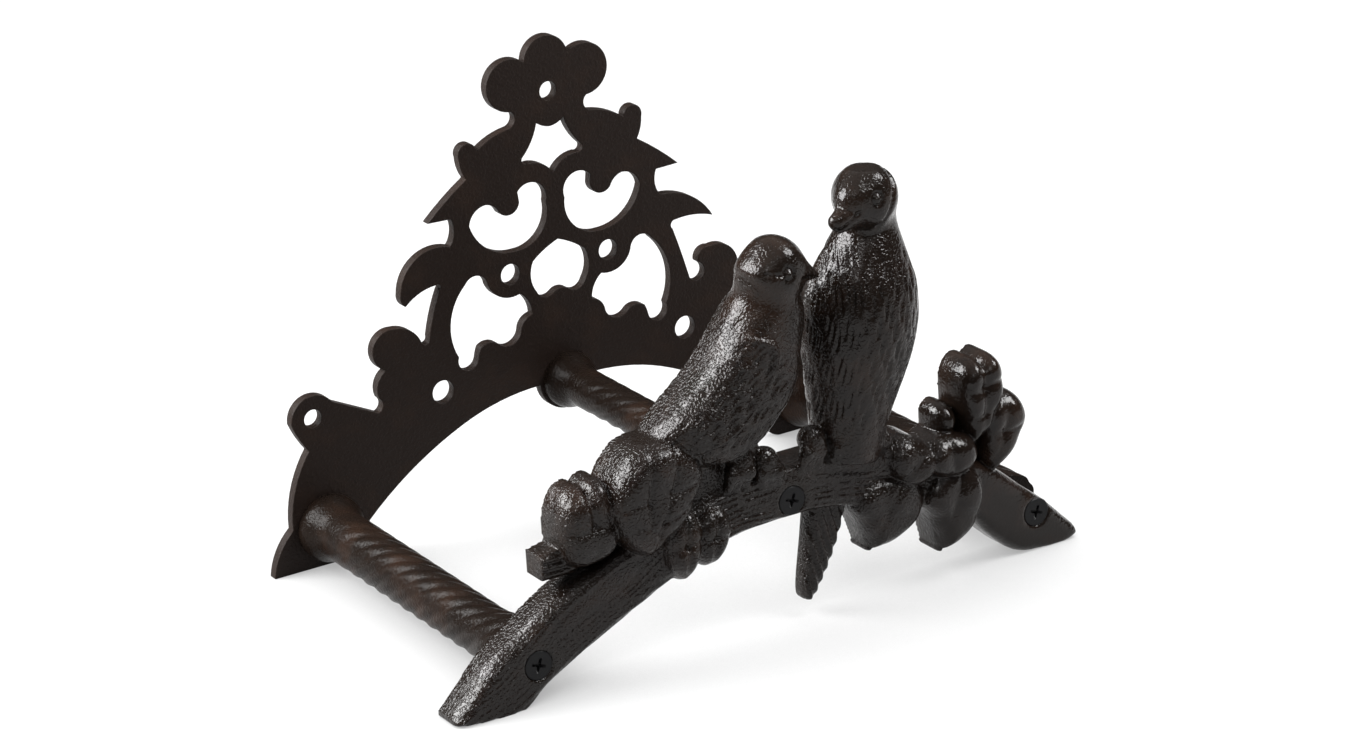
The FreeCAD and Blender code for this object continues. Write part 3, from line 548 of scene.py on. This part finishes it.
# Tall bird: foot and lean of its axis, its depth, and its girth as shares of the widest at heights along the axis
TALL_FOOT = (29.3, -112)
TALL_LEAN = math.radians(9.8)
TALL_DEPTH = 7.5
TALL_WIDEST = 22.5
TALL_GIRTH = (
    (0, 0.59), (12, 0.67), (26, 0.805), (42, 0.955), (56, 1.0), (68, 0.915), (79, 0.71), (91, 0.47), (99, 0.42))
TALL_HEAD = (40.3, 12, -11.4)

# Swellings and dips of the faces: place from the middle of the head, width, and height, which is below zero outward
TALL_FACE = (
    ((-8, 7, 5), 4.5, -1.0), ((0.5, 8, 9), 3.5, -0.8), ((-4, 8, 7), 2.2, 0.6), ((-1, 11, -6), 4, -0.5))
SMALL_FACE = (((3, 9, 7.5), 4, -0.9), ((-8, 9, 3), 5, -0.6), ((-2, 12, 4), 3, 0.6))


def add_tall_bird(relief, feather):
    """Tall bird: a leaning body of revolution with feather strokes, and a head with a blunt beak."""
    rows = curve_through([(height, TALL_WIDEST * share) for height, share in TALL_GIRTH], False, 8)
    spans, (x, d, z) = relief.window((2, 70), (-2, 34), (-118, -8))
    px, pz = x - TALL_FOOT[0], z - TALL_FOOT[1]
    across = px * math.cos(TALL_LEAN) - pz * math.sin(TALL_LEAN)
    up = px * math.sin(TALL_LEAN) + pz * math.cos(TALL_LEAN)
    radius = np.interp(up, rows[:, 0], rows[:, 1])
    turn = np.arctan2(across, d - TALL_DEPTH + 0 * across)
    distance = (np.hypot(across, d - TALL_DEPTH) - radius) * 0.97
    gather = np.clip(radius / TALL_WIDEST, 0.55, 1) * 21
    plume = streaks(turn * gather + 40, up + 60, 2.3, 15.0)
    patch = np.clip((84 - up) / 6, 0, 1) * np.clip((up - 8) / 8, 0.3, 1)
    distance = distance - feather * plume * patch - 0.2 * lattice(turn * 5, up / 9) * patch
    distance = rounded_and(distance, np.abs(up - 48) - 50, 2)
    relief.join(spans, distance, 1.5)

    def face(px, pd, pz):
        behind = (px - 4.2) * 0.9 + (pd - 6) * -0.12 + pz * -0.38
        crease = 1.1 * ridge(behind, 0.9) * np.clip((pz + 12) / 2, 0, 1)
        return crease + sum(bump((px, pd, pz), *given) for given in TALL_FACE)

    relief.ball(TALL_HEAD, 12.6, 4.0, face)
    relief.ball((32.4, 15.8, -10.6), 7.0, 3.0)
    relief.horn((30.8, 17.0, -13.8), (23.4, 18.2, -16.4), 5.4, 3.3, 1.4)
    relief.horn((31.5, 17.0, -17.2), (24.8, 18.0, -18.9), 3.6, 2.2, 1.2)
    relief.groove(((22.5, -9.4), (25.5, -11.4), (28.8, -13.2), (31.0, -14.0)), 0.8, 0.5, 17.0)
    relief.groove(((20.5, -19.2), (24.2, -18.6), (27.4, -16.6), (31, -13.2)), 0.7, 1.1, 18.3)
    relief.groove(((28, -22.5), (33, -25.0), (39, -25.4), (43.5, -24.6)), 0.9, 0.5, 17)
    ring(relief, (38.0, -9.3), 24.3)


def ring(relief, at, depth):
    """Round eye inside a fine groove."""
    spans, (x, d, z) = relief.window((at[0] - 6, at[0] + 6), (depth - 7, depth + 6), (at[1] - 6, at[1] + 6))
    far = np.hypot((x - at[0]) * 1.2, z - at[1])
    relief.field[spans] = relief.field[spans] + 0.9 * ridge(far - 2.3, 0.6) - 0.9 * ridge(far, 1.1)


# Small bird, seen from the front: body, legs, folded wing, and the middle of its body with the way its axis points
SMALL_BODY = ((-12, -40), (-33, -63), (-56, -84), (-48, -97), (-20, -97), (0, -80), (6, -61), (7, -42))
SMALL_LEGS = ((-50, -90), (-14, -90), (-7, -112), (-48, -116))
SMALL_WING = (
    (-17, -50), (-9, -54), (-9, -64), (-18, -78), (-33, -88), (-58, -94), (-66, -84), (-46, -60), (-28, -46))
SMALL_MIDDLE = (-19.8, -76.8)
SMALL_AXIS = (0.736, 0.677)
SMALL_HEAD = (-2.0, 11, -31.2)
FEATHER_ROW = 7
LEAF_SINK = 3.8


def add_small_bird(relief, feather):
    """Small bird: a domed body with a folded wing, sunk a little round the leaf before it, and a head turned away."""
    body = curve_through(SMALL_BODY)
    wing = curve_through(SMALL_WING)
    leaf = curve_through(np.array(LEFT_LEAVES[1][0]) + LEFT_AT)

    def plumage(x, z, inside):
        px, pz = x - SMALL_MIDDLE[0], z - SMALL_MIDDLE[1]
        u = px * SMALL_AXIS[0] + pz * SMALL_AXIS[1]
        v = -px * SMALL_AXIS[1] + pz * SMALL_AXIS[0]
        folded = to_outline(x, z, wing)
        lift = 1.5 * np.clip(-folded / 1.6, 0, 1) + 0.7 * ridge(folded + 1.8, 1.3)
        row = np.floor((u + 70) / FEATHER_ROW + 0.3 * lattice(v / 6, u / 9))
        tips = ((u + 70) / FEATHER_ROW - row) + 0.3 * np.abs(((v / 4.2 + 0.5 * row) % 1.0) - 0.5) * 2
        shells = np.where(folded < -3, np.clip(0.9 - np.abs(tips - 0.3) * 2.2, 0, 0.9), 0)
        calm = np.clip((24 - u) / 5, 0, 1)
        worn = feather * (streaks(v + 50, u + 80, 2.2, 12.0) + 0.6 * shells) + 0.3 * lattice(u / 6, v / 4)
        sunk = LEAF_SINK * np.clip(1 - to_outline(x, z, leaf) / 9, 0, 1)
        return pillow(inside, 15, 23.6, 14) + lift * np.clip(-inside / 4, 0, 1) + worn * calm - sunk

    relief.raised(np.array(SMALL_LEGS, float), lambda x, z, inside: 13 + 1.2 * lattice(x / 7, z / 7), 1.5)
    relief.raised(body, plumage, 1.5, edge=3.0, grow=0.6)

    def face(px, pd, pz):
        behind = (px + 7) * -0.75 + (pz + 6) * -0.66
        crease = 0.5 * ridge(behind, 1.0) * np.clip((pz + 13) / 2, 0, 1)
        slope = 1.8 * ridge(np.sqrt((px + 9) ** 2 + (pz - 10) ** 2), 6)
        return crease + slope + sum(bump((px, pd, pz), *given) for given in SMALL_FACE)

    relief.horn((-2.5, 11, -36), (-11, 10, -54), 11.0, 13.0, 4.0)
    relief.ball(SMALL_HEAD, 13.5, 4.0, face)
    relief.horn((5.5, 16.5, -31), (14.3, 17, -35.3), 5.6, 1.3, 1.6)
    relief.groove(((15, -36), (9, -34), (4.5, -33.2)), 0.6, 1.0, 17.2)
    relief.groove(((-5, -29.4), (-10, -28.4)), 0.6, 0.8, 14)
    ring(relief, (-2, -29.4), 24.2)


# Feet on the branch: x, z and how far the toes turn sideways
TOES = ((11.5, -104, -4), (24.5, -105, 0), (38, -108, 4), (-21, -104, -4), (-10, -107, 2))


TOE_SPREAD = 3.9
TAIL = (
    (13, -124), (9.5, -144), (7, -162), (8.5, -166.5), (12.4, -163), (21.2, -147), (26.5, -129), (20, -122))


def add_small_things(relief):
    """The birds' toes and the tall bird's tail under the branch."""
    for number, (x, z, way) in enumerate(TOES):
        relief.ball((x, 12.5, z + 3), 5.5, 2.0)
        for turn in (-TOE_SPREAD, 0, TOE_SPREAD):
            lift = 1.2 * TABLE[number, int(turn) % CELLS]
            knuckle = (x + 0.85 * turn + 0.3 * way, 15.2 + lift, z - 1.0)
            relief.horn((x + 0.5 * turn, 13.5, z + 5), knuckle, 2.5, 2.7, 1.2)
            relief.horn(knuckle, (x + turn + 0.6 * way, 14.6, z - 6.5), 2.6, 1.7, 1.2)

    def feathers(x, z, inside):
        return pillow(inside, 9, 12.5, 4) + 0.5 * np.sin((x * 0.94 + z * 0.25) * 2 * math.pi / 3.4)

    relief.raised(curve_through(TAIL), feathers, 0.8, edge=1.0, back=4.0, grow=0.7)


def screw_seats(relief):
    """Countersinks for the front screws."""
    for sx, sz in SCREWS:
        spans, (x, d, z) = relief.window((sx - 9, sx + 9), (-3, 22), (sz - 9, sz + 9))
        far = np.hypot(x - sx, z - sz)
        cone = far - np.clip(6.5 + (d - 16.0), 3.3, 7.2)
        relief.carve(spans, cone * 0.7)


def relief_mesh(name, sizes):
    """The whole front casting as one skin, inside the CAD's box."""
    low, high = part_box("front_casting")
    relief = Relief((low[0] / MM - 3, -3, low[2] / MM - 3), (high[0] / MM + 3, 36, high[2] / MM + 3),
                    sizes.relief_step)
    add_branch(relief, sizes.bark_depth)
    add_small_things(relief)
    add_leaves(relief)
    add_small_bird(relief, sizes.feather_depth)
    add_tall_bird(relief, sizes.feather_depth)
    screw_seats(relief)
    x, d, z = np.meshgrid(*relief.axes, indexing="ij", sparse=True)
    field = np.maximum(relief.field, np.maximum(-d, FLOOR - z))
    grid = openvdb.FloatGrid()
    grid.copyFromArray(np.clip(field, -3, 3).astype(np.float32))
    points, triangles, quads = grid.convertToPolygons(isovalue=0.0, adaptivity=0.04)
    places = points * relief.step + relief.low
    shaped = np.column_stack([places[:, 0], BACK - places[:, 1], places[:, 2]]) * MM
    shaped = np.clip(shaped, np.array(low), np.array(high))
    faces = [tuple(face) for face in quads] + [tuple(face) for face in triangles]
    mesh = bpy.data.meshes.new(name)
    mesh.from_pydata(shaped.tolist(), [], faces)
    facing_out(mesh, WELD)
    return mesh


def grain_left(mesh):
    """Stores how much sand grain each point kept: less on the tall bird, the small head and the right leaves."""
    places = np.empty(len(mesh.vertices) * 3)
    mesh.vertices.foreach_get("co", places)
    x, z = places[0::3] / MM, places[2::3] / MM
    tall = np.clip((x - 12) / 12, 0, 1) * np.clip((z + 108) / 20, 0, 1)
    head = np.clip((z + 34) / 12, 0, 1)
    right = np.clip((x - 48) / 25, 0, 1)
    left = 1.0 - tall * (0.35 + 0.1 * head)
    left = np.minimum(left, 1.0 - 0.65 * right)
    small = np.clip((z + 48) / 8, 0, 1) * np.clip((14 - x) / 6, 0, 1)
    left = np.minimum(left, 1.0 - 0.5 * small)
    mesh.attributes.new("grain", "FLOAT", "POINT").data.foreach_set("value", left)


class HANGER_OT_front_casting(bpy.types.Operator):
    """Sculpts the branch, birds, leaves and tail as one casting"""
    bl_idname = "hanger.front_casting"
    bl_label = "Front Casting"

    def execute(self, context):
        sizes, finish = settings()
        mesh = relief_mesh("front_relief", sizes)
        made = piece("front_relief", mesh, paint_material(
            "casting_paint", 950, 0.00027, 0.15, 0.23, finish.paint, worn="grain"))
        smooth_edges(mesh, 70)
        grain_left(mesh)
        belongs(made, "painted_casting", "front_casting")
        return {"FINISHED"}


class HANGER_OT_wall_plate(bpy.types.Operator):
    """Rounds the edges of the scroll plate"""
    bl_idname = "hanger.wall_plate"
    bl_label = "Wall Plate"

    def execute(self, context):
        sizes, finish = settings()
        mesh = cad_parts["wall_plate"].data.copy()
        work = bmesh.new()
        work.from_mesh(mesh)
        bmesh.ops.remove_doubles(work, verts=work.verts, dist=WELD)
        bmesh.ops.dissolve_limit(work, angle_limit=math.radians(1), verts=work.verts, edges=work.edges)
        work.to_mesh(mesh)
        work.free()
        made = piece("scroll_plate", mesh, paint_material("plate_paint", 1000, 0.00016, 0.5, 0.12, finish.plate))
        made.matrix_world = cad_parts["wall_plate"].matrix_world
        bevel = made.modifiers.new("rounding", "BEVEL")
        bevel.width = sizes.plate_round
        bevel.segments = 2
        bevel.limit_method = "ANGLE"
        bevel.angle_limit = math.radians(50)
        mesh.polygons.foreach_set("use_smooth", [True] * len(mesh.polygons))
        weighted = made.modifiers.new("flat_faces", "WEIGHTED_NORMAL")
        weighted.weight = 100
        weighted.keep_sharp = True
        plain(made)
        belongs(made, "painted_casting", "wall_plate")
        return {"FINISHED"}


# Node trees that build repeated shapes

def calc(tree, operation, *values):
    """Result of a sum on sockets and numbers."""
    made = tree.nodes.new("ShaderNodeMath")
    made.operation = operation
    for index, value in enumerate(values):
        if isinstance(value, (int, float)):
            made.inputs[index].default_value = value
        else:
            tree.links.new(value, made.inputs[index])
    return made.outputs[0]


def ramp(tree, value, start, end):
    """Smooth rise from 0 to 1 between two values."""
    made = tree.nodes.new("ShaderNodeMapRange")
    made.interpolation_type = "SMOOTHSTEP"
    for index, item in enumerate((value, start, end, 0.0, 1.0)):
        if isinstance(item, (int, float)):
            made.inputs[index].default_value = item
        else:
            tree.links.new(item, made.inputs[index])
    return made.outputs[0]


ROPE_GRID = (97, 170)
CLOSING = 0.006


def rope_tree():
    """Round bar along -Y with strands wound round it, a collar at its start and a flare at its end.

    A sheet is rolled up. Its first and last rows shrink to a point and close the ends.
    """
    tree = bpy.data.node_groups.new("rope_bar", "GeometryNodeTree")
    for name, kind in (("Start", "NodeSocketVector"), ("Length", "NodeSocketFloat"), ("Radius", "NodeSocketFloat"),
                       ("Rope Depth", "NodeSocketFloat"), ("Lead", "NodeSocketFloat"), ("Strands", "NodeSocketInt"),
                       ("Collar Rim", "NodeSocketFloat"), ("Collar Length", "NodeSocketFloat"),
                       ("Fade", "NodeSocketFloat"), ("End Rim", "NodeSocketFloat"), ("End Length", "NodeSocketFloat"),
                       ("Material", "NodeSocketMaterial")):
        socket(tree, name, kind, "INPUT")
    socket(tree, "Geometry", "NodeSocketGeometry", "OUTPUT")
    given = node(tree, "NodeGroupInput").outputs
    sheet = node(tree, "GeometryNodeMeshGrid", {
        "Size X": 1.0, "Size Y": 1.0, "Vertices X": ROPE_GRID[0], "Vertices Y": ROPE_GRID[1]})
    place = node(tree, "ShaderNodeSeparateXYZ", {0: node(tree, "GeometryNodeInputPosition").outputs[0]}).outputs
    share = calc(tree, "ADD", place["Y"], 0.5)
    stretched = calc(tree, "MULTIPLY_ADD", share, 1 + 2 * CLOSING, -CLOSING)
    inner = node(tree, "ShaderNodeClamp", {0: stretched}).outputs[0]
    along = calc(tree, "MULTIPLY", inner, given["Length"])
    angle = calc(tree, "MULTIPLY", place["X"], 2 * math.pi)
    twist = calc(tree, "MULTIPLY", calc(tree, "DIVIDE", along, given["Lead"]), 2 * math.pi)
    phase = calc(tree, "MULTIPLY", calc(tree, "ADD", angle, twist), calc(tree, "MULTIPLY", given["Strands"], 0.5))
    wave = calc(tree, "COSINE", phase)
    strand = calc(tree, "SQRT", calc(tree, "MULTIPLY_ADD", wave, wave, 0.05))
    fade_end = calc(tree, "ADD", given["Collar Length"], given["Fade"])
    wound = ramp(tree, along, given["Collar Length"], fade_end)
    depth = calc(tree, "MULTIPLY", wound, given["Rope Depth"])
    groove = calc(tree, "MULTIPLY", calc(tree, "SUBTRACT", 1.0, strand), depth)
    flare = calc(tree, "SUBTRACT", 1.0, ramp(tree, along, 0.0025, given["Collar Length"]))
    collar = calc(tree, "MULTIPLY", calc(tree, "POWER", flare, 1.6), given["Collar Rim"])
    end_start = calc(tree, "SUBTRACT", given["Length"], given["End Length"])
    widening = calc(tree, "POWER", ramp(tree, along, end_start, given["Length"]), 1.3)
    flared = calc(tree, "MULTIPLY_ADD", widening, given["End Rim"], collar)
    radius = calc(tree, "SUBTRACT", calc(tree, "ADD", given["Radius"], flared), groove)
    off_centre = calc(tree, "ABSOLUTE", place["Y"])
    open_row = calc(tree, "LESS_THAN", off_centre, 0.4995)
    radius = calc(tree, "MULTIPLY", radius, open_row)
    spot = node(tree, "ShaderNodeCombineXYZ", {
        0: calc(tree, "MULTIPLY", radius, calc(tree, "COSINE", angle)),
        1: calc(tree, "MULTIPLY", along, -1.0),
        2: calc(tree, "MULTIPLY", radius, calc(tree, "SINE", angle))}).outputs[0]
    moved = node(tree, "ShaderNodeVectorMath", {0: spot, 1: given["Start"]}, operation="ADD").outputs[0]
    shaped = node(tree, "GeometryNodeSetPosition", {"Geometry": sheet.outputs[0], "Position": moved}).outputs[0]
    welded = node(tree, "GeometryNodeMergeByDistance", {"Geometry": shaped, "Distance": 0.00001}).outputs[0]
    real = node(tree, "GeometryNodeRealizeInstances", {0: welded}).outputs[0]
    painted = node(tree, "GeometryNodeSetMaterial", {"Geometry": real, "Material": given["Material"]}).outputs[0]
    node(tree, "NodeGroupOutput", {"Geometry": painted})
    return tree


def build_by(tree, name, values, material):
    """A piece made by a node tree, as a plain mesh."""
    made = piece(name, bpy.data.meshes.new(name), material)
    modifier = made.modifiers.new(tree.name, "NODES")
    modifier.node_group = tree
    for item in tree.interface.items_tree:
        if item.item_type == "SOCKET" and item.in_out == "INPUT" and item.name in values:
            modifier[item.identifier] = values[item.name]
    plain(made)
    if not made.data.polygons:
        raise RuntimeError(name + " came out empty")
    facing_out(made.data)
    return made


# Thickness of each bar and how far it widens at its front end, in metres
BAR_SHAPES = {"left_bar": (0.02095, 0.0024), "centre_bar": (0.01645, 0.0), "right_bar": (0.02095, 0.0)}
BAR_LENGTH = 0.15


class HANGER_OT_bars(bpy.types.Operator):
    """Builds the three rope-twisted bars"""
    bl_idname = "hanger.bars"
    bl_label = "Rope Bars"

    def execute(self, context):
        sizes, finish = settings()
        material = paint_material("bar_paint", 900, 0.00014, 0.28, 0.055, finish.paint)
        tree = rope_tree()
        for name, (x, z) in BAR_AXES.items():
            thick, flare = BAR_SHAPES[name]
            values = {
                "Start": (x * MM, PLATE_FRONT * MM, z * MM), "Length": BAR_LENGTH, "Radius": thick / 2,
                "Rope Depth": sizes.rope_depth, "Lead": sizes.rope_lead, "Strands": sizes.rope_starts,
                "Collar Rim": 0.0033, "Collar Length": 0.016, "Fade": 0.022,
                "End Rim": flare, "End Length": 0.024, "Material": material}
            made = build_by(tree, "rope_" + name, values, material)
            smooth_edges(made.data, 60)
            belongs(made, "painted_casting", name)
        return {"FINISHED"}


# Screw, in millimetres: reach and half width of the cross at its mouth and at its floor, the rim of the head's face,
# and the rest of the outline as radius and depth
CROSS_MOUTH = (3.0, 0.62)
CROSS_FLOOR = (1.5, 0.42)
SCREW_RIM = 5.45
SCREW_ROWS = ((5.7, 0.25), (5.7, 0.5), (3.0, 3.1), (3.0, 15.0), (2.4, 15.6))
SCREW_TURNS = 48


def screw_mesh(recess):
    """Countersunk screw along +Y, its head's face at the origin, with a cross recess."""
    work = bmesh.new()

    def loop(points, y):
        return [work.verts.new((x * MM, y, z * MM)) for x, z in points]

    def circle(r):
        angles = (2 * math.pi * k / SCREW_TURNS for k in range(SCREW_TURNS))
        return [(r * math.cos(a), r * math.sin(a)) for a in angles]

    def cross(reach, half):
        arm = ((reach - 0.25, -half), (reach, -half + 0.3), (reach, half - 0.3), (reach - 0.25, half),
               (half + 0.35, half), (half, half + 0.35))
        ways = ((1, 0), (0, 1), (-1, 0), (0, -1))
        return [(x * c - z * s, x * s + z * c) for c, s in ways for x, z in arm]

    def walls(low, high):
        for k in range(len(low)):
            n = (k + 1) % len(low)
            work.faces.new((low[k], low[n], high[n], high[k]))

    mouth = loop(cross(*CROSS_MOUTH), 0.0)
    inner = loop(cross(*CROSS_FLOOR), recess)
    walls(mouth, inner)
    work.faces.new(inner)
    rows = [loop(circle(SCREW_RIM), 0.0)]
    for r, y in SCREW_ROWS:
        rows.append(loop(circle(r), y * MM))
    for low, high in zip(rows[:-1], rows[1:]):
        walls(low, high)
    work.faces.new(rows[-1])
    rims = [edge for edge in work.edges if edge.is_boundary]
    bmesh.ops.triangle_fill(work, edges=rims, use_beauty=True)
    bmesh.ops.recalc_face_normals(work, faces=work.faces)
    mesh = bpy.data.meshes.new("screw")
    work.to_mesh(mesh)
    work.free()
    return mesh


def screw_tree():
    """Copies of one screw at three points, all turned the same way."""
    tree = bpy.data.node_groups.new("screw_set", "GeometryNodeTree")
    for name, kind in (("Screw", "NodeSocketObject"), ("Left", "NodeSocketVector"), ("Centre", "NodeSocketVector"),
                       ("Right", "NodeSocketVector"), ("Turn", "NodeSocketRotation"),
                       ("Material", "NodeSocketMaterial")):
        socket(tree, name, kind, "INPUT")
    socket(tree, "Geometry", "NodeSocketGeometry", "OUTPUT")
    given = node(tree, "NodeGroupInput").outputs
    shape = node(tree, "GeometryNodeObjectInfo", {"Object": given["Screw"]}).outputs["Geometry"]
    joined = node(tree, "GeometryNodeJoinGeometry")
    for name in ("Left", "Centre", "Right"):
        spot = node(tree, "GeometryNodePoints", {"Count": 1, "Position": given[name]})
        tree.links.new(spot.outputs[0], joined.inputs[0])
    placed = node(tree, "GeometryNodeInstanceOnPoints", {
        "Points": joined.outputs[0], "Instance": shape, "Rotation": given["Turn"]})
    real = node(tree, "GeometryNodeRealizeInstances", {0: placed.outputs[0]}).outputs[0]
    painted = node(tree, "GeometryNodeSetMaterial", {"Geometry": real, "Material": given["Material"]}).outputs[0]
    node(tree, "NodeGroupOutput", {"Geometry": painted})
    return tree


# Each set of screws: piece, CAD node, where the heads' faces lie in millimetres, and turn
SCREW_SETS = (
    ("front_screw_set", "front_screws", BACK - 15.6, (0, 0.35, 0)),
    ("rear_screw_set", "rear_screws", -0.4, (0, 0.2, math.pi)),
)


class HANGER_OT_screws(bpy.types.Operator):
    """Sets the cross-recessed screws into the front casting and the wall plate"""
    bl_idname = "hanger.screws"
    bl_label = "Screws"

    def execute(self, context):
        sizes, finish = settings()
        material = plain_material("screw_black", finish.black, 0.38)
        pattern = piece("screw_pattern", screw_mesh(sizes.recess_depth), material)
        tree = screw_tree()
        for name, node_name, y, turn in SCREW_SETS:
            spots = [(x * MM, y * MM, z * MM) for x, z in SCREWS]
            values = {"Screw": pattern, "Left": spots[0], "Centre": spots[1], "Right": spots[2], "Turn": turn,
                      "Material": material}
            made = build_by(tree, name, values, material)
            smooth_edges(made.data, 40)
            belongs(made, "black_screw", node_name)
        mesh = pattern.data
        bpy.data.objects.remove(pattern)
        bpy.data.meshes.remove(mesh)
        return {"FINISHED"}


# Area lights: name, place, aim, size and power
SOFTBOXES = (
    ("window", (-0.78, 0.28, 0.50), (0, -0.12, -0.08), (0.8, 0.6), 40),
    ("side", (0.5, -0.42, 0.66), (0, -0.12, -0.08), (0.45, 0.45), 15),
    ("front", (-0.9, -1.2, 1.2), (0, -0.1, -0.08), (0.4, 0.4), 3),
)
CEILING = ((-0.1, 0.1, 1.0), 1.1, 110)
WORLD_GLOW = 0.09

# The floor glows like a lit paper sweep, less where the hanger keeps the sky off it: a painted soft shadow
FLOOR_REACH = 6.0
SKY_DISTANCE = 0.2
SKY_SEEN = (0.25, 0.96)
# Glow of the floor inside the painted shadow and out in the open
FLOOR_GLOW_WITH_PAINTED_SHADOW = (0.4, 0.88)

# Camera fitted to the photo: its place, its axes to the right, up and away from the view, and focal length
CAMERA_AT = (-0.758825, -1.364242, 0.472762)
CAMERA_AXES = (
    (0.846135, -0.530267, -0.053597), (0.232686, 0.277064, 0.932252), (-0.479493, -0.801282, 0.357819))
FOCAL_LENGTH = 107.95


def area_light(name, at, towards, size, power):
    """Rectangular softbox that faces a point."""
    data = bpy.data.lights.new(name, "AREA")
    data.shape = "RECTANGLE"
    data.size, data.size_y = size
    data.energy = power
    lamp = bpy.data.objects.new(name, data)
    lamp.location = at
    lamp.rotation_euler = (Vector(towards) - Vector(at)).to_track_quat("-Z", "Y").to_euler()
    bpy.context.scene.collection.objects.link(lamp)


def sun_light(name, towards, strength, spread):
    """Wide sun in a direction."""
    data = bpy.data.lights.new(name, "SUN")
    data.energy = strength
    data.angle = math.radians(spread)
    lamp = bpy.data.objects.new(name, data)
    lamp.rotation_euler = (-Vector(towards)).to_track_quat("-Z", "Y").to_euler()
    bpy.context.scene.collection.objects.link(lamp)


def paper_floor(finish):
    """Pale glowing floor under the hanger, with a painted soft shadow where the hanger is near."""
    mesh = bpy.data.meshes.new("floor")
    reach, level = FLOOR_REACH, FLOOR * MM
    mesh.from_pydata([(-reach, -reach, level), (reach, -reach, level), (reach, reach, level),
                      (-reach, reach, level)], [], [(0, 1, 2, 3)])
    paper = plain_material("floor_paper", finish.floor, 0.9)
    tree = paper.node_tree
    shader = tree.nodes["Principled BSDF"]
    shader.inputs["Emission Color"].default_value = (1, 1, 1, 1)
    # Painted soft shadow: the floor's glow drops where the hanger blocks the sky within SKY_DISTANCE
    seen = node(tree, "ShaderNodeAmbientOcclusion", {"Distance": SKY_DISTANCE}, samples=16)
    painted_shadow_glow = node(tree, "ShaderNodeMapRange", {
        0: seen.outputs["AO"], 1: SKY_SEEN[0], 2: SKY_SEEN[1], 3: FLOOR_GLOW_WITH_PAINTED_SHADOW[0], 4: FLOOR_GLOW_WITH_PAINTED_SHADOW[1]})
    tree.links.new(painted_shadow_glow.outputs[0], shader.inputs["Emission Strength"])
    return piece("floor", mesh, paper)


def photo_camera(scene):
    """Camera where the photographer stood."""
    lens = bpy.data.cameras.new("camera")
    lens.sensor_fit = "HORIZONTAL"
    lens.sensor_width = 36
    lens.lens = FOCAL_LENGTH
    lens.clip_end = 50
    camera = bpy.data.objects.new("camera", lens)
    camera.matrix_world = Matrix.Translation(CAMERA_AT) @ Matrix(CAMERA_AXES).transposed().to_4x4()
    scene.collection.objects.link(camera)
    scene.camera = camera


class HANGER_OT_stage(bpy.types.Operator):
    """Lays a pale floor, sets soft lights and puts the camera where the photographer stood"""
    bl_idname = "hanger.stage"
    bl_label = "Studio"

    def execute(self, context):
        _, finish = settings()
        scene = context.scene
        floor = paper_floor(finish)
        world = bpy.data.worlds.new("studio")
        world.use_nodes = True
        world.node_tree.nodes["Background"].inputs["Color"].default_value = (1, 1, 1, 1)
        world.node_tree.nodes["Background"].inputs["Strength"].default_value = WORLD_GLOW
        scene.world = world
        sun_light("ceiling", *CEILING)
        for light in SOFTBOXES:
            area_light(*light)
        photo_camera(scene)
        scene.view_settings.view_transform = "Standard"
        return {"FINISHED"}


class HANGER_PT_panel(bpy.types.Panel):
    """Sizes, finish and the steps that build the hanger"""
    bl_idname = "HANGER_PT_panel"
    bl_label = "Hose Hanger"
    bl_space_type = "VIEW_3D"
    bl_region_type = "UI"
    bl_category = "Hanger"

    def draw(self, context):
        layout = self.layout
        for group in (context.scene.hanger_sizes, context.scene.hanger_finish):
            for name in group.__annotations__:
                layout.prop(group, name)
        for step in STEPS:
            layout.operator(step.bl_idname)


STEPS = (HANGER_OT_wall_plate, HANGER_OT_bars, HANGER_OT_front_casting, HANGER_OT_screws, HANGER_OT_stage)
CLASSES = (HangerSizes, HangerFinish, *STEPS, HANGER_PT_panel)


def register():
    for item in CLASSES:
        bpy.utils.register_class(item)
    bpy.types.Scene.hanger_sizes = bpy.props.PointerProperty(type=HangerSizes)
    bpy.types.Scene.hanger_finish = bpy.props.PointerProperty(type=HangerFinish)


def unregister():
    del bpy.types.Scene.hanger_finish
    del bpy.types.Scene.hanger_sizes
    for item in reversed(CLASSES):
        bpy.utils.unregister_class(item)


def main():
    register()
    bpy.ops.hanger.wall_plate()
    bpy.ops.hanger.bars()
    bpy.ops.hanger.front_casting()
    bpy.ops.hanger.screws()
    bpy.ops.hanger.stage()
    bpy.context.view_layer.update()


if __name__ == "__main__":
    main()
